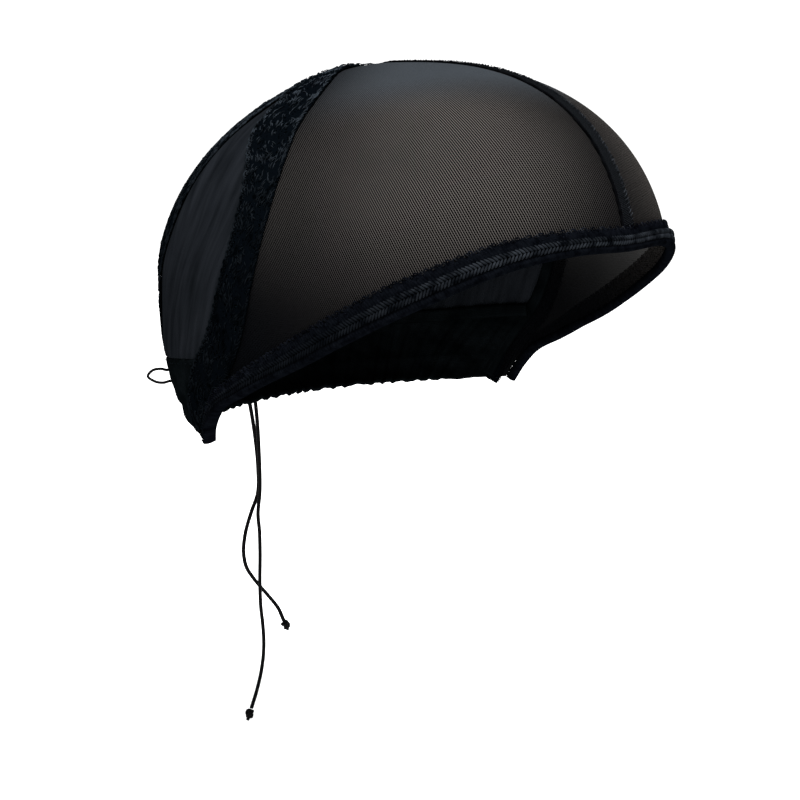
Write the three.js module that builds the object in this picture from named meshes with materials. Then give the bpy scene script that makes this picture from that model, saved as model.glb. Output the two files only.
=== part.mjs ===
// A dome wig cap: two sheer net front panels with a centre seam, a lace band from ear to ear,
// a stretch cloth back with two lace bands, a gathered nape band and a braided front band.
// Millimetres, +Z up, the face towards -Y, the wearer's right at -X.
// The origin is the inside of the crown, where the cap sits on the head.

import * as THREE from 'three';

// Dome
const CAP_WIDTH = 156;
const FRONT_REACH = 102.3;
const BACK_REACH = 87.8;
const CROWN_RISE = 72.6;
const NAPE_DROP = 52;
const FRONT_RISE = 14.2;
const NAPE_TUCK = 27.4;
const EAR_TUCK = 3.1;

// Cloth
const NET_WALL = 1;
const BACK_WALL = 1.2;
const NAPE_WALL = 1.8;
const LACE_WALL = 1;
const SEAM_GAP = 0.3;
const LAYER_GAP = 0.35;
const EDGE_CLEARANCE = 0.9;
const FOLD_HEIGHT = 1.6;
const GATHER_HEIGHT = 1.1;
const GATHER_PITCH = 13;

// Bands
const LACE_WIDTH = 16;
const BACK_LACE_WIDTH = 12;
const NAPE_BAND_HEIGHT = 23;
const FRONT_BAND_HEIGHT = 9.5;
const FRONT_BAND_WALL = 2.3;
const FRONT_ROLL_HEIGHT = 2.6;
const WELT_WIDTH = 5.2;
const WELT_WALL = 0.8;
const WELT_RIDGE = 1.2;

// Cords
const DRAW_CORD_DIAMETER = 1.6;
const KNOT_DIAMETER = 4.2;
const KNOT_LENGTH = 5;
const LOOP_CORD_DIAMETER = 1;
const LOOP_REACH = 7;
const LOOP_OPENING = 4;
const LOOP_DROP = 34.5;
const LOOP_TURN = 127;

// Places along the seams where they meet, as shares of a seam's length from the right ear
const MIDDLE = 0.5;
const BACK_LACE_START = 0.455;
const BACK_LACE_FOOT = 0.2725;
const NAPE_CORNER_SHARE = 1.3;
const SHORT_TOP = 0.035;
const GATHER_FADE = 0.12;
const GATHER_EASE = 0.55;

// How finely the curved shapes are worked out
const SEARCH_STEPS = 44;
const LENGTH_STEPS = 600;
const SLOPE_REACH = 0.8;
const SLOPE_SHARE = 0.004;
const LEAST_SHARE = 1e-9;
const LOWEST_SHARE = 1.2;
const EDGE_MATCH_POWER = 8;
const NET_CELLS = { across: 22, down: 9 };
const BACK_SIDE_CELLS = { across: 10, down: 20 };
const BACK_CENTRE_CELLS = { across: 16, down: 16 };
const NAPE_CELLS = { perGather: 4, down: 5 };
const LACE_STEPS = 56;
const BACK_LACE_STEPS = 22;
const FRONT_BAND_STEPS = 64;
const WELT_STEPS = 26;
const WELT_SPANS = 8;
const CORD_SIDES = 8;
const CORD_STEP = 3;
const KNOT_SIDES = 12;

const HALF_WIDTH = CAP_WIDTH / 2;
const CROWN_INSIDE = CROWN_RISE - NET_WALL;
const HALF_GAP = SEAM_GAP / 2;
const NET_FOOT = FRONT_ROLL_HEIGHT + EDGE_CLEARANCE;

// How each profile of the dome rounds over from the widest level to the crown
const PROFILES = {
  front: { rise: 2.43, reach: 2.89 },
  back: { rise: 2.05, reach: 1.42 },
  side: { rise: 1.7, reach: 2.04 },
};
const PLAN_ROUNDNESS = { front: 2.1, back: 2.01 };
const TUCK_POWER = 4;

// Half of the ear to ear lace band, from the crown to the right ear corner.
// side is a share of the half width, back of the back reach, rise of the crown rise,
// or of the nape drop below the widest level, and width of the lace's width.
const LACE_ROWS = [
  { side: 0.0, back: 0.2, rise: 0.95, width: 0.95 },
  { side: 0.17, back: 0.175, rise: 0.94, width: 0.95 },
  { side: 0.32, back: 0.11, rise: 0.92, width: 0.95 },
  { side: 0.44, back: 0.055, rise: 0.875, width: 1.0 },
  { side: 0.55, back: 0.025, rise: 0.8, width: 1.12 },
  { side: 0.65, back: 0.012, rise: 0.71, width: 1.28 },
  { side: 0.78, back: -0.055, rise: 0.57, width: 1.0 },
  { side: 0.87, back: -0.095, rise: 0.43, width: 0.84 },
  { side: 0.94, back: -0.107, rise: 0.26, width: 0.81 },
  { side: 0.985, back: -0.085, rise: 0.05, width: 0.85 },
  { side: 0.993, back: 0.005, rise: -0.33, width: 0.94 },
  { side: 0.972, back: 0.14, rise: -0.62, width: 0.9 },
  { side: 0.957, back: 0.21, rise: -0.82, width: 0.73 },
  { side: 0.943, back: 0.25, rise: -1.0, width: 0.6 },
];

// The right back lace band between the ear to ear lace and the nape band
const BACK_LACE_ROWS = [
  { side: 0.4, back: 0.23, rise: 0.85 },
  { side: 0.53, back: 0.32, rise: 0.73 },
  { side: 0.64, back: 0.41, rise: 0.57 },
  { side: 0.73, back: 0.48, rise: 0.4 },
  { side: 0.79, back: 0.53, rise: 0.2 },
  { side: 0.77, back: 0.63, rise: 0.0 },
  { side: 0.7, back: 0.71, rise: -0.27 },
];

// The front edge, by the turn from the front in degrees. rise runs from the nape edge, 0,
// to the front centre, 1. height is a share of the front band's height, and overLace is 1
// where the band passes over the ear to ear lace.
const RIM_ROWS = [
  { turn: 0, rise: 1.0, height: 0.78, overLace: 0 },
  { turn: 12.4, rise: 0.998, height: 0.82, overLace: 0 },
  { turn: 24.6, rise: 0.937, height: 0.95, overLace: 0 },
  { turn: 42.2, rise: 0.749, height: 1.08, overLace: 0 },
  { turn: 55, rise: 0.596, height: 1.04, overLace: 0 },
  { turn: 63.6, rise: 0.493, height: 1.0, overLace: 0 },
  { turn: 74, rise: 0.386, height: 0.88, overLace: 0 },
  { turn: 79, rise: 0.335, height: 0.8, overLace: 1 },
  { turn: 82.7, rise: 0.296, height: 0.75, overLace: 1 },
  { turn: 91, rise: 0.21, height: 0.62, overLace: 1 },
  { turn: 95.5, rise: 0.11, height: 0.45, overLace: 1 },
  { turn: 98, rise: 0.02, height: 0.41, overLace: 1 },
];

// The nape band's upper edge behind the ear. rise is a share of the nape band's height.
const NAPE_TOP_ROWS = [
  { turn: 106, rise: 1.21 },
  { turn: 122, rise: 1.08 },
  { turn: 145, rise: 0.98 },
  { turn: 180, rise: 0.95 },
];

// Soft folds of the back panels, from the top of a panel, down 0, to its foot, down 1.
// start and end are places across the panel, width its spread, height a share of the fold height.
const SIDE_FOLDS = [
  { from: 0.22, to: 0.75, start: 0.66, end: 0.8, width: 0.07, height: 1.0 },
  { from: 0.3, to: 0.6, start: 0.48, end: 0.45, width: 0.05, height: 0.55 },
  { from: 0.58, to: 0.97, start: 0.36, end: 0.5, width: 0.06, height: 0.6 },
];
const CENTRE_FOLDS = [
  { from: 0.45, to: 0.98, start: 0.3, end: 0.26, width: 0.05, height: 0.6 },
  { from: 0.5, to: 0.98, start: 0.5, end: 0.5, width: 0.045, height: 0.5 },
  { from: 0.45, to: 0.98, start: 0.7, end: 0.74, width: 0.05, height: 0.6 },
];

// Routes of the two free drawstring ends, in the cap's own frame
const RIGHT_CORD_ROUTE = [
  [-2.5, 82.2, -107.6], [-2.5, 84.2, -108.4], [-2.3, 85.4, -111], [-1.8, 85.2, -115.5],
  [-0.9, 83.8, -123], [0.2, 82.4, -133], [1.4, 81.6, -145], [2.1, 81.3, -157],
  [1.6, 81.3, -167], [-2.1, 81.3, -174.5], [-5.2, 81.3, -182], [-6.5, 81.3, -189.5],
  [-5.4, 81.3, -196], [-2, 81.3, -201.5], [2, 81.3, -206.5], [6.6, 81.3, -212],
  [10.8, 81.3, -217.5], [13.6, 81.3, -223.5],
];
const LEFT_CORD_ROUTE = [
  [2.5, 82.2, -107.6], [2.5, 84.2, -108.4], [2.3, 85.2, -111], [1.9, 84.2, -116],
  [1.3, 81.8, -124], [0.8, 79.6, -135], [0.6, 78.6, -149], [0.4, 78.4, -165],
  [-0.9, 78.4, -174.5], [-0.4, 78.4, -182], [-0.4, 78.4, -191], [-0.9, 78.4, -203],
  [-0.8, 78.4, -213], [0, 78.4, -221], [0.3, 78.4, -229], [-0.4, 78.4, -236],
  [-2, 78.4, -242.5], [-4.4, 78.4, -249], [-7.2, 78.4, -255],
];

// Distances from the dome's axis to its wall at one height
function reachAt(height) {
  const up = THREE.MathUtils.clamp(height / CROWN_RISE, 0, 1);
  const down = THREE.MathUtils.clamp(-height / NAPE_DROP, 0, LOWEST_SHARE) ** TUCK_POWER;
  const share = ({ rise, reach }) => Math.max(1 - up ** rise, LEAST_SHARE) ** (1 / reach);
  return {
    side: HALF_WIDTH * share(PROFILES.side) - EAR_TUCK * down,
    front: FRONT_REACH * share(PROFILES.front),
    back: BACK_REACH * share(PROFILES.back) - NAPE_TUCK * down,
  };
}

function isOutside(point) {
  if (point.z >= CROWN_RISE) return true;
  const reach = reachAt(point.z);
  const half = point.y < 0 ? 'front' : 'back';
  const power = PLAN_ROUNDNESS[half];
  const across = Math.abs(point.x) / reach.side;
  return across ** power + (Math.abs(point.y) / reach[half]) ** power > 1;
}

// The point of the dome's outer face in line with a point and the dome's centre
function onDome(point) {
  let inside = 0;
  let outside = 4 * BACK_REACH / point.length();
  for (let step = 0; step < SEARCH_STEPS; step += 1) {
    const middle = (inside + outside) / 2;
    if (isOutside(point.clone().multiplyScalar(middle))) outside = middle;
    else inside = middle;
  }
  return point.clone().multiplyScalar(inside);
}

function outwardAt(point) {
  const isHigh = Math.abs(point.x) < Math.abs(point.z);
  const reference = isHigh ? new THREE.Vector3(1, 0, 0) : new THREE.Vector3(0, 0, 1);
  const first = new THREE.Vector3().crossVectors(reference, point).normalize();
  const second = new THREE.Vector3().crossVectors(point, first).normalize();
  const slope = (direction) => {
    const ahead = onDome(point.clone().addScaledVector(direction, SLOPE_REACH));
    return ahead.sub(onDome(point.clone().addScaledVector(direction, -SLOPE_REACH)));
  };
  const outward = new THREE.Vector3().crossVectors(slope(first), slope(second)).normalize();
  return outward.dot(point) < 0 ? outward.negate() : outward;
}

function lifted(point, lift) {
  return point.clone().addScaledVector(outwardAt(point), lift);
}

// A point of the dome from shares of the named sizes, on the wearer's right
function fromShares({ side, back, rise }) {
  const height = rise * (rise > 0 ? CROWN_RISE : NAPE_DROP);
  return onDome(new THREE.Vector3(-side * HALF_WIDTH, back * BACK_REACH, height));
}

// A point of the dome at a turn from the front, towards the wearer's right, and a height
function fromTurn(turn, height) {
  const angle = THREE.MathUtils.degToRad(turn);
  const direction = new THREE.Vector2(-Math.sin(angle), -Math.cos(angle));
  const reach = reachAt(height);
  const half = direction.y < 0 ? 'front' : 'back';
  const power = PLAN_ROUNDNESS[half];
  const across = (Math.abs(direction.x) / reach.side) ** power;
  const radius = (across + (Math.abs(direction.y) / reach[half]) ** power) ** (-1 / power);
  return new THREE.Vector3(direction.x * radius, direction.y * radius, height);
}

function mirrored(point) {
  return new THREE.Vector3(-point.x, point.y, point.z);
}

// A path on the dome through some of its points
function domePath(points) {
  const curve = new THREE.CatmullRomCurve3(points, false, 'centripetal');
  curve.arcLengthDivisions = LENGTH_STEPS;
  const at = (share) => onDome(curve.getPointAt(THREE.MathUtils.clamp(share, 0, 1)));
  const directions = (share) => {
    const ahead = at(share + SLOPE_SHARE).sub(at(share - SLOPE_SHARE)).normalize();
    const sideways = new THREE.Vector3().crossVectors(ahead, outwardAt(at(share))).normalize();
    return { ahead, sideways };
  };
  const beside = (share, across, lift) => {
    const point = at(share).addScaledVector(directions(share).sideways, across);
    return lifted(onDome(point), lift);
  };
  const rowAt = (share) => curve.getUtoTmapping(share) * (points.length - 1);
  return { at, beside, directions, rowAt, length: curve.getLength() };
}

// Points of a whole path from the right ear, given those of its right half from the middle on
function bothSides(right) {
  const left = right.slice(1).map(mirrored);
  return [...[...right].reverse(), ...left];
}

// One column of a table of half a path, read at a share along the whole path
function column(rows, name, path, share) {
  const place = Math.abs(path.rowAt(share) - (rows.length - 1));
  const row = Math.min(Math.floor(place), rows.length - 2);
  return THREE.MathUtils.lerp(rows[row][name], rows[row + 1][name], place - row);
}

// The share along a path's right half where it rises through a height
function shareAtHeight(path, height) {
  let [below, above] = [0, MIDDLE];
  for (let step = 0; step < SEARCH_STEPS; step += 1) {
    const middle = (below + above) / 2;
    if (path.at(middle).z < height) below = middle;
    else above = middle;
  }
  return (below + above) / 2;
}

const aboveNape = (rise) => -NAPE_DROP + NAPE_BAND_HEIGHT * rise;
const rimHeight = (rise) => THREE.MathUtils.lerp(-NAPE_DROP, FRONT_RISE, rise);

// The seams that the pieces share. The front rim runs from the left ear, the others from the right.
const rim = domePath(bothSides(RIM_ROWS.map((row) => fromTurn(row.turn, rimHeight(row.rise)))).reverse());
const lace = domePath(bothSides(LACE_ROWS.map(fromShares)));
const laceAtNape = shareAtHeight(lace, aboveNape(NAPE_CORNER_SHARE));
const laceAtFoot = shareAtHeight(lace, SEAM_GAP - NAPE_DROP);
const napeTop = domePath(bothSides([
  ...NAPE_TOP_ROWS.map((row) => fromTurn(row.turn, aboveNape(row.rise))).reverse(),
  lace.at(laceAtNape),
]));
const backLace = domePath([
  lace.at(BACK_LACE_START),
  ...BACK_LACE_ROWS.map(fromShares),
  napeTop.at(BACK_LACE_FOOT),
]);

// Geometry of a closed body from rings of points with as many points each, capped at both ends
function ringBody(rings) {
  const count = rings[0].length;
  const indices = [];
  for (let ring = 0; ring + 1 < rings.length; ring += 1) {
    for (let corner = 0; corner < count; corner += 1) {
      const next = (corner + 1) % count;
      const low = ring * count;
      const high = low + count;
      indices.push(low + corner, low + next, high + next, low + corner, high + next, high + corner);
    }
  }
  const flat = capTriangles(rings[0]);
  const last = (rings.length - 1) * count;
  flat.forEach(([a, b, c]) => {
    indices.push(a, c, b);
    indices.push(last + a, last + b, last + c);
  });
  return outwardFacing(rings.flat(), indices);
}

// Triangles over one ring, found in the plane that it lies nearest to
function capTriangles(ring) {
  const normal = new THREE.Vector3();
  ring.forEach((point, corner) => {
    normal.add(new THREE.Vector3().crossVectors(point, ring[(corner + 1) % ring.length]));
  });
  normal.normalize();
  const across = ring[1].clone().sub(ring[0]).normalize();
  const up = new THREE.Vector3().crossVectors(normal, across);
  const outline = ring.map((point) => new THREE.Vector2(point.dot(across), point.dot(up)));
  return THREE.ShapeUtils.triangulateShape(outline, []);
}

function outwardFacing(points, indices) {
  let volume = 0;
  for (let corner = 0; corner < indices.length; corner += 3) {
    const [a, b, c] = [0, 1, 2].map((offset) => points[indices[corner + offset]]);
    volume += a.dot(new THREE.Vector3().crossVectors(b, c));
  }
  if (volume < 0) indices.reverse();
  const geometry = new THREE.BufferGeometry().setFromPoints(points);
  geometry.setIndex(indices);
  geometry.computeVertexNormals();
  return geometry;
}

// A sheet of cloth between four edges that are paths on the dome
function sheet({ foot, head, start, end, across, down, wall, relief = () => 0 }) {
  const corners = [foot(0), foot(1), head(0), head(1)];
  const place = (u, v) => {
    const point = new THREE.Vector3();
    point.addScaledVector(foot(u), 1 - v).addScaledVector(head(u), v);
    point.addScaledVector(start(v), 1 - u).addScaledVector(end(v), u);
    point.addScaledVector(corners[0], (u - 1) * (1 - v)).addScaledVector(corners[1], u * (v - 1));
    point.addScaledVector(corners[2], (u - 1) * v).addScaledVector(corners[3], -u * v);
    return onDome(point);
  };
  const points = [];
  for (const depth of [0, -wall]) {
    for (let row = 0; row <= down; row += 1) {
      for (let cell = 0; cell <= across; cell += 1) {
        const [u, v] = [cell / across, row / down];
        points.push(lifted(place(u, v), depth + relief(u, v)));
      }
    }
  }
  const indices = [];
  const width = across + 1;
  const layer = width * (down + 1);
  const quad = (a, b, c, d) => indices.push(a, b, c, a, c, d);
  for (let row = 0; row < down; row += 1) {
    for (let cell = 0; cell < across; cell += 1) {
      const corner = row * width + cell;
      quad(corner, corner + 1, corner + width + 1, corner + width);
      quad(layer + corner, layer + corner + width, layer + corner + width + 1, layer + corner + 1);
    }
  }
  const border = [];
  for (let cell = 0; cell < across; cell += 1) border.push(cell);
  for (let row = 0; row < down; row += 1) border.push(row * width + across);
  for (let cell = across; cell > 0; cell -= 1) border.push(down * width + cell);
  for (let row = down; row > 0; row -= 1) border.push(row * width);
  border.forEach((corner, turn) => {
    const next = border[(turn + 1) % border.length];
    quad(corner, layer + corner, layer + next, next);
  });
  return outwardFacing(points, indices);
}

// A band along a path on the dome, its section given as places across and lifts off the dome.
// Each end has its share of the path and its slant, a share for each millimetre across.
function band(path, steps, section, first = { share: 0, slant: 0 }, last = { share: 1, slant: 0 }) {
  const rings = [];
  for (let step = 0; step <= steps; step += 1) {
    const done = step / steps;
    const share = THREE.MathUtils.lerp(first.share, last.share, done);
    const slant = THREE.MathUtils.lerp(first.slant, last.slant, done);
    const shareAt = (across) => share + slant * across;
    rings.push(section(share).map(([across, lift]) => path.beside(shareAt(across), across, lift)));
  }
  return ringBody(rings);
}

// The section of a flat band that lies on the cloth below it
function flatSection(width, lift, wall) {
  const places = [-0.5, -0.25, 0, 0.25, 0.5];
  const under = places.map((place) => [place * width, lift]);
  const over = places.map((place) => [place * width, lift + wall]).reverse();
  return [...under, ...over];
}

function foldRelief(folds) {
  return (u, v) => {
    const down = 1 - v;
    return folds.reduce((sum, fold) => {
      const along = (down - fold.from) / (fold.to - fold.from);
      if (along <= 0 || along >= 1) return sum;
      const offset = (u - THREE.MathUtils.lerp(fold.start, fold.end, along)) / fold.width;
      return sum + FOLD_HEIGHT * fold.height * Math.sin(Math.PI * along) * Math.exp(-offset * offset);
    }, 0);
  };
}

function straightOnDome(first, last) {
  return (share) => onDome(first.clone().lerp(last, share));
}

function frontNet() {
  const foot = (u) => rim.beside(MIDDLE + MIDDLE * u, NET_FOOT, 0);
  const head = (u) => lace.beside(THREE.MathUtils.lerp(MIDDLE, laceAtFoot, u), HALF_GAP, 0);
  const clear = (point) => new THREE.Vector3(Math.min(point.x, -HALF_GAP), point.y, point.z);
  const seamFoot = clear(foot(0));
  const seamHead = clear(head(0));
  return sheet({
    foot: (u) => clear(foot(u)),
    head: (u) => clear(head(u)),
    start: (v) => clear(straightOnDome(seamFoot, seamHead)(v)),
    end: straightOnDome(foot(1), head(1)),
    ...NET_CELLS,
    wall: NET_WALL,
  });
}

// The cloth between the ear to ear lace and the right back lace, above the nape band
function backSide() {
  const foot = (u) => napeTop.beside(BACK_LACE_FOOT * u, HALF_GAP, 0);
  const laceEnd = THREE.MathUtils.lerp(BACK_LACE_START, laceAtNape, SHORT_TOP);
  const start = (v) => lace.beside(THREE.MathUtils.lerp(laceAtNape, laceEnd, v), -HALF_GAP, 0);
  const end = (v) => backLace.beside(1 - v * (1 - SHORT_TOP), -HALF_GAP, 0);
  return sheet({
    foot: matched(foot, start(0), end(0)),
    head: straightOnDome(start(1), end(1)),
    start,
    end,
    ...BACK_SIDE_CELLS,
    wall: BACK_WALL,
    relief: foldRelief(SIDE_FOLDS),
  });
}

function backCentre() {
  const between = (share, u) => THREE.MathUtils.lerp(share, 1 - share, u);
  const foot = (u) => napeTop.beside(between(BACK_LACE_FOOT, u), HALF_GAP, 0);
  const head = (u) => lace.beside(between(BACK_LACE_START, u), -HALF_GAP, 0);
  const start = (v) => backLace.beside(1 - v, HALF_GAP, 0);
  const end = (v) => mirrored(start(v));
  return sheet({
    foot: matched(foot, start(0), end(0)),
    head: matched(head, start(1), end(1)),
    start,
    end,
    ...BACK_CENTRE_CELLS,
    wall: BACK_WALL,
    relief: foldRelief(CENTRE_FOLDS),
  });
}

function napeBand() {
  const gathers = Math.round(2 * BACK_REACH / GATHER_PITCH);
  const head = (u) => napeTop.beside(u, -HALF_GAP, 0);
  const low = (u) => fromTurn(THREE.MathUtils.lerp(footTurn, 360 - footTurn, u), -NAPE_DROP);
  const footPoint = lace.at(laceAtFoot);
  const footTurn = THREE.MathUtils.radToDeg(Math.atan2(-footPoint.x, -footPoint.y));
  const start = (v) => lace.beside(THREE.MathUtils.lerp(laceAtFoot, laceAtNape, v), -HALF_GAP, 0);
  const relief = (u, v) => {
    const fade = Math.min(1, Math.min(u, 1 - u) / GATHER_FADE) ** 2;
    const ripple = Math.sin(Math.PI * gathers * u) ** 2;
    return GATHER_HEIGHT * fade * ripple * (1 - GATHER_EASE * v);
  };
  const end = (v) => mirrored(start(v));
  return sheet({
    foot: matched(low, start(0), end(0)),
    head: matched(head, start(1), end(1)),
    start,
    end,
    across: gathers * NAPE_CELLS.perGather,
    down: NAPE_CELLS.down,
    wall: NAPE_WALL,
    relief,
  });
}

// An edge whose two ends are moved to given points, with the places next to them following
function matched(edge, first, last) {
  const startShift = first.clone().sub(edge(0));
  const endShift = last.clone().sub(edge(1));
  return (u) => {
    const point = edge(u).addScaledVector(startShift, (1 - u) ** EDGE_MATCH_POWER);
    return point.addScaledVector(endShift, u ** EDGE_MATCH_POWER);
  };
}

function laceBand() {
  const section = (share) => {
    const width = LACE_WIDTH * column(LACE_ROWS, 'width', lace, share);
    return flatSection(width, LAYER_GAP, LACE_WALL);
  };
  const first = { share: laceAtFoot, slant: 0 };
  const last = { share: 1 - laceAtFoot, slant: 0 };
  return band(lace, LACE_STEPS, section, first, last);
}

// The inset and slant of a band's end that stops clear of a seam that it meets
function endAtSeam(path, share, seamSideways, clear) {
  const { ahead, sideways } = path.directions(share);
  const approach = ahead.dot(seamSideways);
  const slant = -sideways.dot(seamSideways) / approach / path.length;
  return { inset: clear / Math.abs(approach) / path.length, slant };
}

function backLaceBand() {
  const { sideways: offLace } = lace.directions(BACK_LACE_START);
  const { sideways: offNape } = napeTop.directions(BACK_LACE_FOOT);
  const top = endAtSeam(backLace, SLOPE_SHARE, offLace, LACE_WIDTH / 2 + EDGE_CLEARANCE);
  const foot = endAtSeam(backLace, 1 - SLOPE_SHARE, offNape, EDGE_CLEARANCE);
  const section = () => flatSection(BACK_LACE_WIDTH, LAYER_GAP, LACE_WALL);
  const first = { share: top.inset, slant: top.slant };
  const last = { share: 1 - foot.inset, slant: foot.slant };
  return band(backLace, BACK_LACE_STEPS, section, first, last);
}

// The front band's section: a thick roll at the cloth's edge and a thinner braid above it
function frontBandSection(share) {
  const height = FRONT_BAND_HEIGHT * column(RIM_ROWS, 'height', rim, share);
  const low = LAYER_GAP + (LACE_WALL + LAYER_GAP) * column(RIM_ROWS, 'overLace', rim, share);
  const high = low + FRONT_BAND_WALL;
  const inside = -NET_WALL;
  return [
    [0.25 * FRONT_ROLL_HEIGHT, inside],
    [0, 0.5 * inside],
    [0, 0.6 * high],
    [0.3 * FRONT_ROLL_HEIGHT, high],
    [FRONT_ROLL_HEIGHT, high],
    [0.7 * height, high],
    [0.9 * height, 0.7 * high + 0.3 * low],
    [height, 0.3 * high + 0.7 * low],
    [height, low],
    [FRONT_ROLL_HEIGHT + 0.01 * height, low],
    [FRONT_ROLL_HEIGHT, inside],
  ];
}

function frontBand() {
  return band(rim, FRONT_BAND_STEPS, frontBandSection);
}

// The seam allowance of the two nets, turned to the wearer's left and stitched flat
function seamWelt() {
  const foot = rim.beside(MIDDLE, FRONT_BAND_HEIGHT * RIM_ROWS[0].height + SEAM_GAP, 0);
  const head = lace.beside(MIDDLE, LACE_WIDTH / 2 + SEAM_GAP, 0);
  const straight = straightOnDome(foot, head);
  const points = Array.from({ length: WELT_SPANS + 1 }, (_, step) => straight(step / WELT_SPANS));
  const section = () => [
    [-0.5 * WELT_RIDGE, LAYER_GAP],
    [-0.4 * WELT_RIDGE, LAYER_GAP + WELT_RIDGE],
    [0.5 * WELT_RIDGE, LAYER_GAP + WELT_RIDGE],
    [WELT_RIDGE, LAYER_GAP + WELT_WALL],
    [WELT_WIDTH, LAYER_GAP + WELT_WALL],
    [WELT_WIDTH, LAYER_GAP],
    [0.5 * WELT_WIDTH, LAYER_GAP],
  ];
  return band(domePath(points), WELT_STEPS, section);
}

function roundSection(diameter, sides) {
  const shape = new THREE.Shape();
  for (let side = 0; side < sides; side += 1) {
    const angle = (2 * Math.PI * side) / sides;
    const [x, y] = [Math.cos(angle) * diameter / 2, Math.sin(angle) * diameter / 2];
    if (side === 0) shape.moveTo(x, y);
    else shape.lineTo(x, y);
  }
  return shape;
}

function cord(points, diameter, stepLength) {
  const curve = new THREE.CatmullRomCurve3(points, false, 'centripetal');
  const steps = Math.round(curve.getLength() / stepLength);
  return new THREE.ExtrudeGeometry(roundSection(diameter, CORD_SIDES), {
    steps, extrudePath: curve, curveSegments: 1,
  });
}

function drawCord(route) {
  return cord(route.map((point) => new THREE.Vector3(...point)), DRAW_CORD_DIAMETER, CORD_STEP * DRAW_CORD_DIAMETER);
}

function knot(route) {
  const last = new THREE.Vector3(...route.at(-1));
  const along = last.clone().sub(new THREE.Vector3(...route.at(-2))).normalize();
  const radius = KNOT_DIAMETER / 2;
  const profile = [[0, 0], [0.55, 0.02], [0.9, 0.22], [1, 0.5], [0.85, 0.8], [0.45, 0.98], [0, 1]];
  const outline = profile.map(([out, up]) => new THREE.Vector2(out * radius, up * KNOT_LENGTH));
  const geometry = new THREE.LatheGeometry(outline, KNOT_SIDES);
  const mesh = new THREE.Mesh(geometry);
  mesh.position.copy(last).addScaledVector(along, SEAM_GAP);
  mesh.quaternion.setFromUnitVectors(new THREE.Vector3(0, 1, 0), along);
  return mesh;
}

// A small cord loop that stands off the nape band behind the right ear
function napeLoop() {
  const root = (side) => {
    const height = -LOOP_DROP - side * LOOP_OPENING / 2;
    return fromTurn(LOOP_TURN, height);
  };
  const [upper, lower] = [root(-1), root(1)];
  const outward = outwardAt(upper).setZ(0).normalize();
  const clear = GATHER_HEIGHT + SEAM_GAP;
  const middle = upper.clone().lerp(lower, 0.5);
  const rows = [
    { from: upper, out: clear, rise: 0.5 },
    { from: upper, out: clear + 0.3 * LOOP_REACH, rise: 0.62 },
    { from: upper, out: clear + 0.7 * LOOP_REACH, rise: 0.5 },
    { from: middle, out: clear + LOOP_REACH, rise: 0 },
    { from: lower, out: clear + 0.7 * LOOP_REACH, rise: -0.5 },
    { from: lower, out: clear + 0.3 * LOOP_REACH, rise: -0.62 },
    { from: lower, out: clear, rise: -0.5 },
  ];
  const points = rows.map(({ from, out, rise }) => {
    const base = new THREE.Vector3(from.x, from.y, middle.z + rise * LOOP_OPENING);
    return base.addScaledVector(outward, out);
  });
  return cord(points, LOOP_CORD_DIAMETER, LOOP_CORD_DIAMETER);
}

function cloth(color, roughness) {
  return new THREE.MeshStandardMaterial({ color, roughness, metalness: 0 });
}

const NET_COLOR = 0x2b2826;
const BACK_COLOR = 0x17191c;
const LACE_COLOR = 0x0b0c10;
const BAND_COLOR = 0x0c0d12;
const CORD_COLOR = 0x0a0a0b;

const cap = new THREE.Group();
const dome = new THREE.Group();
dome.position.z = -CROWN_INSIDE;
cap.add(dome);

function add(parent, name, geometry, material) {
  const mesh = new THREE.Mesh(geometry, material);
  mesh.name = name;
  parent.add(mesh);
  return mesh;
}

function addPair(name, geometry, makeMaterial) {
  add(dome, `${name}_right`, geometry, makeMaterial());
  const positions = geometry.getAttribute('position');
  const points = Array.from({ length: positions.count }, (_, corner) => (
    mirrored(new THREE.Vector3().fromBufferAttribute(positions, corner))
  ));
  const other = outwardFacing(points, [...geometry.getIndex().array]);
  add(dome, `${name}_left`, other, makeMaterial());
}

addPair('front_net', frontNet(), () => cloth(NET_COLOR, 0.8));
addPair('back_panel', backSide(), () => cloth(BACK_COLOR, 0.6));
add(dome, 'back_panel_centre', backCentre(), cloth(BACK_COLOR, 0.6));
add(dome, 'nape_band', napeBand(), cloth(BACK_COLOR, 0.75));
add(dome, 'ear_to_ear_lace', laceBand(), cloth(LACE_COLOR, 0.85));
addPair('back_lace', backLaceBand(), () => cloth(LACE_COLOR, 0.85));
add(dome, 'centre_seam_welt', seamWelt(), cloth(NET_COLOR, 0.8));
add(dome, 'front_band', frontBand(), cloth(BAND_COLOR, 0.8));
add(dome, 'nape_loop', napeLoop(), cloth(CORD_COLOR, 0.7));

const ROUTES = { right: RIGHT_CORD_ROUTE, left: LEFT_CORD_ROUTE };
for (const [side, route] of Object.entries(ROUTES)) {
  add(cap, `draw_cord_${side}`, drawCord(route), cloth(CORD_COLOR, 0.7));
  const end = knot(route);
  end.name = `cord_knot_${side}`;
  end.material = cloth(CORD_COLOR, 0.7);
  cap.add(end);
}

export default cap;
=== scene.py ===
"""A dome wig cap: two sheer net front panels with a centre seam, a lace band from ear to ear,
a stretch cloth back with two lace bands, a gathered nape band and a braided front band.
Metres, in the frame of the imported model: +Z up, the face towards -Y, the wearer's right at -X."""
import math

import bpy
import numpy as np
from mathutils import Matrix, Vector


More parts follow.
